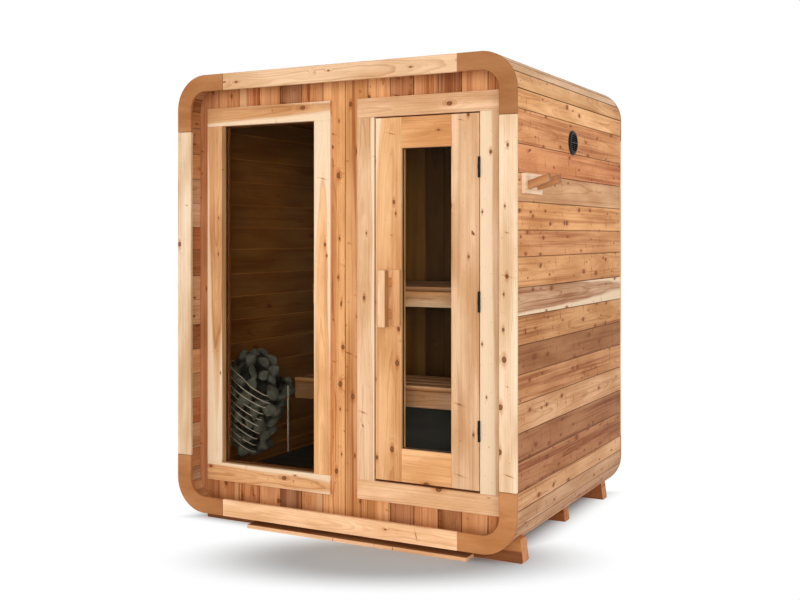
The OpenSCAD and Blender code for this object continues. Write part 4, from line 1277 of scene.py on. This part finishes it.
def buildCradle(node, seed, beamLook, blockLook=None):
    # blockLook: the beam stops at a seam and carries a leaning block at its right end
    b, (lo, hi), boards = cradleParts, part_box(node), newBoards(seed)
    top, c, gap = hi.z, b["chamfer"], b["gap"]
    seam = b["seam"] if blockLook else top

    def outer(z):
        return hi.x - z * b["lean"] / b["height"]
    if blockLook:
        beam = [(lo.x, 0.0), (hi.x - c, 0.0), (outer(c), c), (outer(seam), seam),
                *curveIn(seatReach(seam), straightHalf), *curveIn(-straightHalf, lo.x)]
    else:
        beam = [(lo.x, 0.0), (hi.x, 0.0), (outer(seam), seam),
                *curveIn(outer(seam), straightHalf)[1:], *curveIn(-straightHalf, -outer(seam))]
    addAlongY(boards, beam, lo.y, hi.y, beamLook)
    if blockLook:
        low, steps = seam + gap, b["steps"]
        rise = (top + (low - top) * k / steps for k in range(steps + 1))
        block = [(outer(low), low), (outer(top), top), *((seatReach(z), z) for z in rise)]
        addAlongY(boards, block, lo.y, hi.y, blockLook)
    setDown(boards, node.split("_")[1] + "Cradle", cradleCedar, "cradle_cedar", node)


buildCradle("cradle_front", 120, look("orange", "flat", 0.6, 0.4, 1.05, 0.9, "cocoa"),
            look("orange", "flat", 0.3, 0.3, 1.05, 1.0, "nut"))
buildCradle("cradle_middle", 121, look("russet", "flat", 0.5, 0.4, 0.95, 1.2, "cocoa"))
buildCradle("cradle_back", 122, look("tawny", "flat", 0.5, 0.4, 0.95, 1.2, "cocoa"))
plankLo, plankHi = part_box("front_plank")
plank = newBoards(125)
# the top face in nut, painted shade under the ring
addBoard(plank, plankLo, (plankHi.x, plankHi.y - 0.3 * mm, plankHi.z), 0,
         look("pale", "flat", 0.2, 0.4, 1.1, 0.9, "nut"), 1.6 * mm, -1,
         lambda p: int(p[2] > plankHi.z - hair))
setDown(plank, "frontPlank", trimCedar, "trim_cedar", "front_plank")
print("cradles done")

# inside: deck, joists, benches

insideParts = {"deckBoard": 138 * mm, "deckGap": 4 * mm, "deckEdge": 1.5 * mm,
               "joist": 38 * mm, "slat": 89 * mm, "slatThick": 28 * mm, "slatGap": 12 * mm,
               "bearer": 38 * mm, "bearerHigh": 61 * mm, "nose": 6 * mm}


def buildDeck():
    b, (lo, hi), boards = insideParts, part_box("floor_deck"), newBoards(130)
    gap, how = b["deckGap"], look("walnut", "rift")
    count = round((hi.y - lo.y + gap) / (b["deckBoard"] + gap))
    wide = (hi.y - lo.y + gap) / count - gap
    low, high = (straightHalf + arcReach(straightBottom - z, cornerR - staveThick - 0.4 * mm)
                 for z in (lo.z, hi.z))
    loops = [[(side * (low + (high - low) * (z - lo.z) / (hi.z - lo.z)), y, z)
              for y, z in octagon(lo.y, lo.y + wide, lo.z, hi.z, b["deckEdge"])]
             for side in (-1, 1)]
    addSolid(boards, loops, lambda p: (p[0], p[1] - lo.y, p[2] - lo.z), how,
             cutOf(boards, how, 0.14, 0.02))
    deck = finishBoards(boards, "floorDeck", darkDeck)
    grow(deck, boardRun, count=count, step=(0, wide + gap, 0), seed=3, tone_spread=0.1,
         material=darkDeck)
    place(deck, "cabin", "deck", "floor_deck")


def runOfBoards(name, lo, hi, along, count, step, how, material, slot, node, seed, edge=2 * mm,
                kindOf=None):
    boards = newBoards(seed)
    addBoard(boards, lo, hi, along, how, edge, -1, kindOf)
    obj = finishBoards(boards, name, material)
    grow(obj, boardRun, count=count, step=step, seed=seed, tone_spread=0.09, material=material)
    place(obj, "cabin", slot, node)


def buildBench(name, node, seed):
    b, (lo, hi) = insideParts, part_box(node)
    slat, span = b["slat"], hi.y - lo.y
    count = int((span + b["slatGap"] + 1e-4) / (slat + b["slatGap"]))
    # the back half of each slat and its underside in cocoa, painted shade
    runOfBoards(name, lo, (hi.x, lo.y + slat, hi.z), 0, count,
                (0, (span - slat) / (count - 1), 0),
                look("sand", "flat", 0.35, 0.5, 0.9, 0.9, "cocoa"), benchCedar, "bench_cedar",
                node, seed, 3 * mm,
                lambda p: int(p[1] > lo.y + slat / 2 or p[2] < lo.z + 9 * mm))


def buildUnderBenches():
    b, apron, bearer = insideParts, newBoards(134), newBoards(135)
    w, h, nose, slat, gap = b["bearer"], b["bearerHigh"], b["nose"], b["slat"], hair
    upperLo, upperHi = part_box("upper_bench")
    lowerLo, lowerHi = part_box("lower_bench")
    t = b["slatThick"] + nose
    # painted shade: the upper apron darker towards its top, under the slats, and the lower one
    # darker to the left
    for lo, hi, how, kindOf in (
            (upperLo, upperHi, look("cream", "flat", 0.6, 0.4, 1.0, 1.0, "golden"),
             lambda p: int(p[2] > upperLo.z - slat / 2)),
            (lowerLo, lowerHi, look("ash", "flat", 0.6, 0.4, 1.2, 0.5, "ash"),
             lambda p: int(p[0] < 0))):
        addBoard(apron, (lo.x, lo.y + nose, lo.z - slat), (hi.x, lo.y + t, lo.z - gap), 0, how,
                 2 * mm, 1, kindOf)
    setDown(apron, "benchAprons", benchCedar, "bench_cedar", "bench_aprons")
    how = look("tawny", "rift", 0.4, 0.3, 0.9)
    endY, deckTop = upperLo.y + slat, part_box("floor_deck")[1].z
    for x, lo, y1 in ((upperLo.x, upperLo, upperHi.y), (-w / 2, upperLo, upperHi.y),
                      (upperHi.x - w, upperLo, upperHi.y), (lowerLo.x, lowerLo, endY),
                      (lowerHi.x - w, lowerLo, endY)):
        addBoard(bearer, (x, lo.y + t + gap, lo.z - h), (x + w, y1, lo.z - gap), 1, how)
    for lo, y0 in ((lowerLo, upperLo.y), (upperLo, endY)):
        addBoard(bearer, (lo.x, y0, deckTop + gap), (lo.x + w, y0 + slat, lo.z - h - gap), 2, how)
    setDown(bearer, "benchBearers", benchCedar, "bench_cedar", "bench_bearers")


buildDeck()
joistLo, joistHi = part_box("floor_joists")
runOfBoards("floorJoists", joistLo, (joistLo.x + insideParts["joist"], joistHi.y, joistHi.z), 1,
            3, ((joistHi.x - joistLo.x - insideParts["joist"]) / 2, 0, 0), look("brown", "rift"),
            cradleCedar, "cradle_cedar", "floor_joists", 131)
buildBench("upperBench", "upper_bench", 132)
buildBench("lowerBench", "lower_bench", 133)
buildUnderBenches()
dress(darkDeck, "kick_board")
print("inside done")

# heater: stones in a basket of steel hoops

heaterParts = {
    "stone": 41 * mm, "spacing": 57 * mm, "margin": 34 * mm, "kinds": 9, "corners": 16,
    "layers": 3, "tries": 22000, "seed": 5,
    "hoops": 10, "hoopTurns": 72, "rod": 2.6 * mm, "endSunk": 12 * mm, "tilt": math.radians(32),
    "hoopFrom": math.radians(-178), "hoopTo": math.radians(-40),
    "basketLean": math.radians(14), "basketLong": 426 * mm, "heapBack": 64 * mm,
    "heapHigh": 187 * mm,
    # (place along, radius) in shares of the length or height, and of the basket's radius
    "basketShape": ((-1.0, 0.52), (-0.87, 0.7), (-0.66, 0.74), (-0.41, 0.82), (-0.12, 0.97),
                    (0.0, 1.0), (0.15, 0.8)),
    "heapShape": ((-0.4, 0.79), (0.0, 0.89), (0.45, 0.79), (0.8, 0.5), (1.0, 0.0)),
}
heapLo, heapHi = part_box("heater_stones")
basketR, wallSide = (heapHi.y - heapLo.y) / 2, heapLo.x
basketWay = math.sin(heaterParts["basketLean"]), math.cos(heaterParts["basketLean"])
shoulder = Vector((wallSide + basketR, (heapHi.y + heapLo.y) / 2,
                   heapHi.z - heaterParts["heapHigh"]))


def between(knots, t):  # a value read off a line through (place, value) pairs
    for (t0, r0), (t1, r1) in zip(knots, knots[1:]):
        if t0 <= t <= t1:
            return r0 + (r1 - r0) * (t - t0) / (t1 - t0)
    return -1.0


def roomAt(p):  # how deep a point lies inside the basket or the heap, as the frame shapes them
    b, away = heaterParts, p - shoulder
    long, high, s, c = b["basketLong"], b["heapHigh"], *basketWay
    t, side = away.x * s + away.z * c, away.x * c - away.z * s
    basket = between([(at * (high if at > 0 else long), r) for at, r in b["basketShape"]], t)
    heap = between([(at * high, r) for at, r in b["heapShape"]], away.z)
    return min(max(min(basket * basketR - math.hypot(side, away.y), t + long),
                   heap * basketR - math.hypot(away.x + b["heapBack"], away.y)),
               p.x - wallSide)


def buildStoneKinds(rng):  # worn lumps, each the hull of a few random points
    b, kinds = heaterParts, bpy.data.collections.new("stoneKinds")
    for k in range(b["kinds"]):
        work = bmesh.new()
        for corner in range(b["corners"]):
            work.verts.new([rng.uniform(-1, 1) for axis in range(3)])
        lump = bmesh.ops.convex_hull(work, input=work.verts)
        bmesh.ops.delete(work, geom=[g for g in lump["geom_interior"]
                                     if isinstance(g, bmesh.types.BMVert)], context="VERTS")
        bmesh.ops.subdivide_edges(work, edges=work.edges, cuts=3, use_grid_fill=True)
        for turn in range(3):
            bmesh.ops.smooth_vert(work, verts=work.verts, factor=0.5, use_axis_x=True,
                                  use_axis_y=True, use_axis_z=True)
        for axis, share in enumerate((1.08, 0.92, 0.8)):
            low, high = (f(v.co[axis] for v in work.verts) for f in (min, max))
            for v in work.verts:
                v.co[axis] = ((v.co[axis] - low) / (high - low) * 2 - 1) * share * b["stone"]
        bmesh.ops.recalc_face_normals(work, faces=work.faces)
        mesh = bpy.data.meshes.new("stoneKind%d" % k)
        work.to_mesh(mesh)
        work.free()
        mesh.shade_smooth()
        mesh.set_sharp_from_angle(angle=math.radians(42))
        kinds.objects.link(bpy.data.objects.new("stoneKind%d" % k, mesh))
    bpy.context.scene.collection.children.link(kinds)
    return kinds


def buildStones():
    b = heaterParts
    rng = random.Random(b["seed"])
    kinds, spots = buildStoneKinds(rng), []
    for layer in range(b["layers"]):  # from the outside, each as full as chance makes it
        level = b["margin"] + layer * b["spacing"] * 0.8
        for attempt in range(b["tries"]):
            p = Vector([rng.uniform(heapLo[k], heapHi[k]) for k in range(3)])
            if level < roomAt(p) < level + 6 * mm and all(
                    (p - q).length > b["spacing"] for q in spots):
                spots.append(p)
    mesh = bpy.data.meshes.new("heaterStones")
    mesh.from_pydata([tuple(p) for p in spots], [], [])
    stones = link(bpy.data.objects.new("heaterStones", mesh))
    grow(stones, stoneHeap, stones=kinds, smallest=0.78, largest=1.06, seed=b["seed"],
         material=saunaStone)
    for obj in list(kinds.objects):
        bpy.data.objects.remove(obj)
    bpy.data.collections.remove(kinds)
    depth = stones.data.attributes.new("depth", "FLOAT", "POINT")
    depth.data.foreach_set("value", [roomAt(v.co) for v in stones.data.vertices])
    place(stones, "cabin", "stone", "heater_stones")
    print("stones:", len(spots))


def buildHoops():
    b, verts, edges = heaterParts, [], []
    rng, turns = random.Random(b["seed"] + 1), b["hoopTurns"]
    for k in range(b["hoops"]):
        down = (k + 0.35) / b["hoops"] * (b["basketLong"] - 30 * mm)
        middle = shoulder - Vector((basketWay[0], 0, basketWay[1])) * down
        slope = math.tan(b["tilt"] * rng.uniform(0.94, 1.06))
        first, last = len(verts), b["hoopTo"] * rng.uniform(0.8, 1.15)
        for j in range(turns + 1):
            a = b["hoopFrom"] + (last - b["hoopFrom"]) * j / turns
            sunk = b["rod"] if 2 < j < turns - 2 else b["endSunk"]
            way = Vector((math.cos(a), math.sin(a), -slope * math.cos(a - 0.3)))
            near, far = 0.0, 2.5 * basketR
            for halving in range(14):
                half = (near + far) / 2
                near, far = (half, far) if roomAt(middle + way * half) > sunk else (near, half)
            verts.append(tuple(middle + way * near))
            edges += [(first + j - 1, first + j)] if j else []
    mesh = bpy.data.meshes.new("basketHoops")
    mesh.from_pydata(verts, edges, [])
    hoops = link(bpy.data.objects.new("basketHoops", mesh))
    grow(hoops, rodSweep, radius=b["rod"], material=hoopSteel)
    place(hoops, "cabin", "steel")


buildStones()
buildHoops()
dress(brushedSteel, "heater_plate", "heater_rod")
print("heater done")

# screws and nails

screwParts = {"hullHead": 3.6 * mm, "hullHigh": 0.35 * mm, "row": 42 * mm, "nailHead": 2.0 * mm,
              "nailHigh": 0.3 * mm, "fromCorner": 14 * mm, "narrowest": 40 * mm}


def scatter(name, spots, radius, height):  # spots: (place, aim) pairs
    mesh = bpy.data.meshes.new(name)
    mesh.from_pydata([s[0] for s in spots], [], [])
    aim = mesh.attributes.new("aim", "FLOAT_VECTOR", "POINT")
    aim.data.foreach_set("vector", [c for s in spots for c in s[1]])
    obj = link(bpy.data.objects.new(name, mesh))
    grow(obj, screwScatter, radius=radius, height=height, seed=9, material=screwSteel)
    place(obj, "cabin", "black_metal")


def buildScrews():
    b, rng, spots = screwParts, random.Random(77), []
    for s0, s1 in staves:
        if s1 - s0 < b["narrowest"]:
            continue
        s = (s0 + s1) / 2 + rng.uniform(-6, 6) * mm
        (x, z), (xi, zi) = (hullPoint(s, hullBoards["skin"] + d) for d in (0, 10 * mm))
        if z < hullBottom + 20 * mm:
            continue
        for y in (staveFront + b["row"], staveEnd - b["row"]):
            spots.append(((x, y + rng.uniform(-2, 2) * mm, z),
                          tuple(Vector((x - xi, 0, z - zi)).normalized())))
    scatter("staveScrews", spots, b["hullHead"], b["hullHigh"])
    nails, w = [], ringWidth
    reach = ringBoards["cornerLeg"] + b["fromCorner"]
    for face, aim in ((ringFront, -1), (ringBack, 1)):
        y = face - aim * 0.35 * mm
        nails += [((x, y, z + rng.uniform(-8, 8) * mm), (0, aim, 0))
                  for x in (reach - hullHalf, 0.0, hullHalf - reach)
                  for z in (hullTop - w / 2, hullBottom + w / 2)]
        nails += [((x + rng.uniform(-8, 8) * mm, y, z), (0, aim, 0))
                  for z in (hullBottom + reach, (hullTop + hullBottom) / 2, hullTop - reach)
                  for x in (w / 2 - hullHalf, hullHalf - w / 2)]
        for kind, start, length, where in outline:
            for share in (-0.12, 0.5, 1.12) if kind == "arc" else ():
                x, z = hullPoint(start + length * share, w / 2 + rng.uniform(-6, 6) * mm)
                nails.append(((x, y, z), (0, aim, 0)))
    scatter("ringNails", nails, b["nailHead"], b["nailHigh"])


buildScrews()
print("screws done")

# floor, light, camera

studio = {"keyPower": 1150.0, "keySize": 8.0, "keyPlace": (7.2, -14.2, 2.9),
          "frontPower": 120.0, "frontSize": 5.0, "frontPlace": (-2.6, -8.0, 1.0),
          "fillPower": 106.0, "fillSize": 4.0, "fillPlace": (8.4, 0.6, 3.0),
          "lampAim": (0, -0.1, 1.1), "ambient": 0.5, "floorHalf": 14.0,
          # the floor's tone to the eye is a painted shadow, in an ellipse in front and a box under
          # the object
          "floorTone": (0.61, 0.66, 0.69, 1), "bounceTone": (0.93, 0.93, 0.93, 1),
          "shadowMiddle": (0.40, -1.06), "shadowTurn": math.radians(-27.9),
          "shadowReach": (0.98, 0.46), "shadowEdge": (0.42, 1.16),
          "contactReach": (1.0, 0.86), "contactBack": 0.08, "contactEdge": (0.80, 1.03),
          "eyePlace": (2.868, -5.6247, 1.5484), "eyeTurn": math.radians(27.86),
          "lens": 48.6, "film": 36.0, "shift": -0.08}


def raysIn(add):  # rays of the camera, and with them those seen in a mirror or through glass
    path = add("ShaderNodeLightPath").outputs
    bare = add.calc("LESS_THAN", path["Diffuse Depth"], 0.5)  # not after a matt bounce
    clear = add.calc("MAXIMUM", path["Is Glossy Ray"], path["Is Transmission Ray"])
    camera = path["Is Camera Ray"]
    return camera, add.calc("MAXIMUM", camera, add.times(bare, clear))


def buildFloor():  # matt to light; to the eye plain white, except in a painted shadow, an ellipse in front and a box under the object, where it shows its real shading in a darker tone
    b, size = studio, studio["floorHalf"]
    material, add, surface = newMaterial("studioWhite", Roughness=0.9, Specular_IOR_Level=0.1)
    camera, seen = raysIn(add)
    ground = add("ShaderNodeTexCoord").outputs["Object"]
    under = add.split(ground)
    across, along = [add.over(add.calc("ABSOLUTE", value), reach) for value, reach in zip(
        (under[0], add.plus(under[1], b["contactBack"])), b["contactReach"])]
    turned = add("ShaderNodeVectorRotate", {
        "Vector": add.vector("SUBTRACT", ground, (*b["shadowMiddle"], 0)),
        "Angle": b["shadowTurn"]}, rotation_type="Z_AXIS")
    away = add.vector("LENGTH", add.vector("DIVIDE", turned, (*b["shadowReach"], 1)))
    share = add.times(seen, add.calc(
        "MINIMUM", add.spread(away.outputs["Value"], *b["shadowEdge"]),
        add.spread(add.calc("MAXIMUM", across, along), *b["contactEdge"])))
    glow = add("ShaderNodeEmission", {"Color": (1, 1, 1, 1), "Strength": 1.0})
    # to the eye the floor takes the darker floorTone, a painted shadow; to other rays it keeps its
    # pale bounce tone
    add.fill(surface.inputs, {"Base Color": add.mix(camera, b["bounceTone"], b["floorTone"])})
    add.fill(outputOf(material.node_tree), {
        "Surface": add("ShaderNodeMixShader", {0: share, 1: surface, 2: glow})})
    meshObject("studioFloor", [(-size, -size, 0), (size, -size, 0), (size, size, 0),
                                        (-size, size, 0)], [(0, 1, 2, 3)], material)


def buildLight():
    b = studio
    world = bpy.data.worlds.new("studioWorld")
    bpy.context.scene.world = world
    world.use_nodes = True
    add = Adder(world.node_tree)
    glow = add.timesPlus(raysIn(add)[1], 1.0 - b["ambient"], b["ambient"])
    add.fill(world.node_tree.nodes["Background"].inputs,
             {"Color": (1, 1, 1, 1), "Strength": glow})
    for name in ("key", "front", "fill"):
        lamp = bpy.data.lights.new(name + "Lamp", "AREA")
        lamp.shape, lamp.size = "DISK", b[name + "Size"]
        lamp.energy = b[name + "Power"]
        obj = link(bpy.data.objects.new(name + "Lamp", lamp))
        obj.location = b[name + "Place"]
        aim = Vector(b["lampAim"]) - obj.location
        obj.rotation_euler = aim.to_track_quat("-Z", "Y").to_euler()
        obj.visible_glossy = False


buildFloor()
buildLight()
eye = bpy.data.cameras.new("studioCamera")
eye.lens, eye.sensor_width, eye.shift_y = studio["lens"], studio["film"], studio["shift"]
camera = link(bpy.data.objects.new("studioCamera", eye))
camera.location = studio["eyePlace"]
camera.rotation_euler = (math.radians(90), 0, studio["eyeTurn"])
bpy.context.scene.camera = camera
bpy.context.scene.view_settings.view_transform = "Standard"
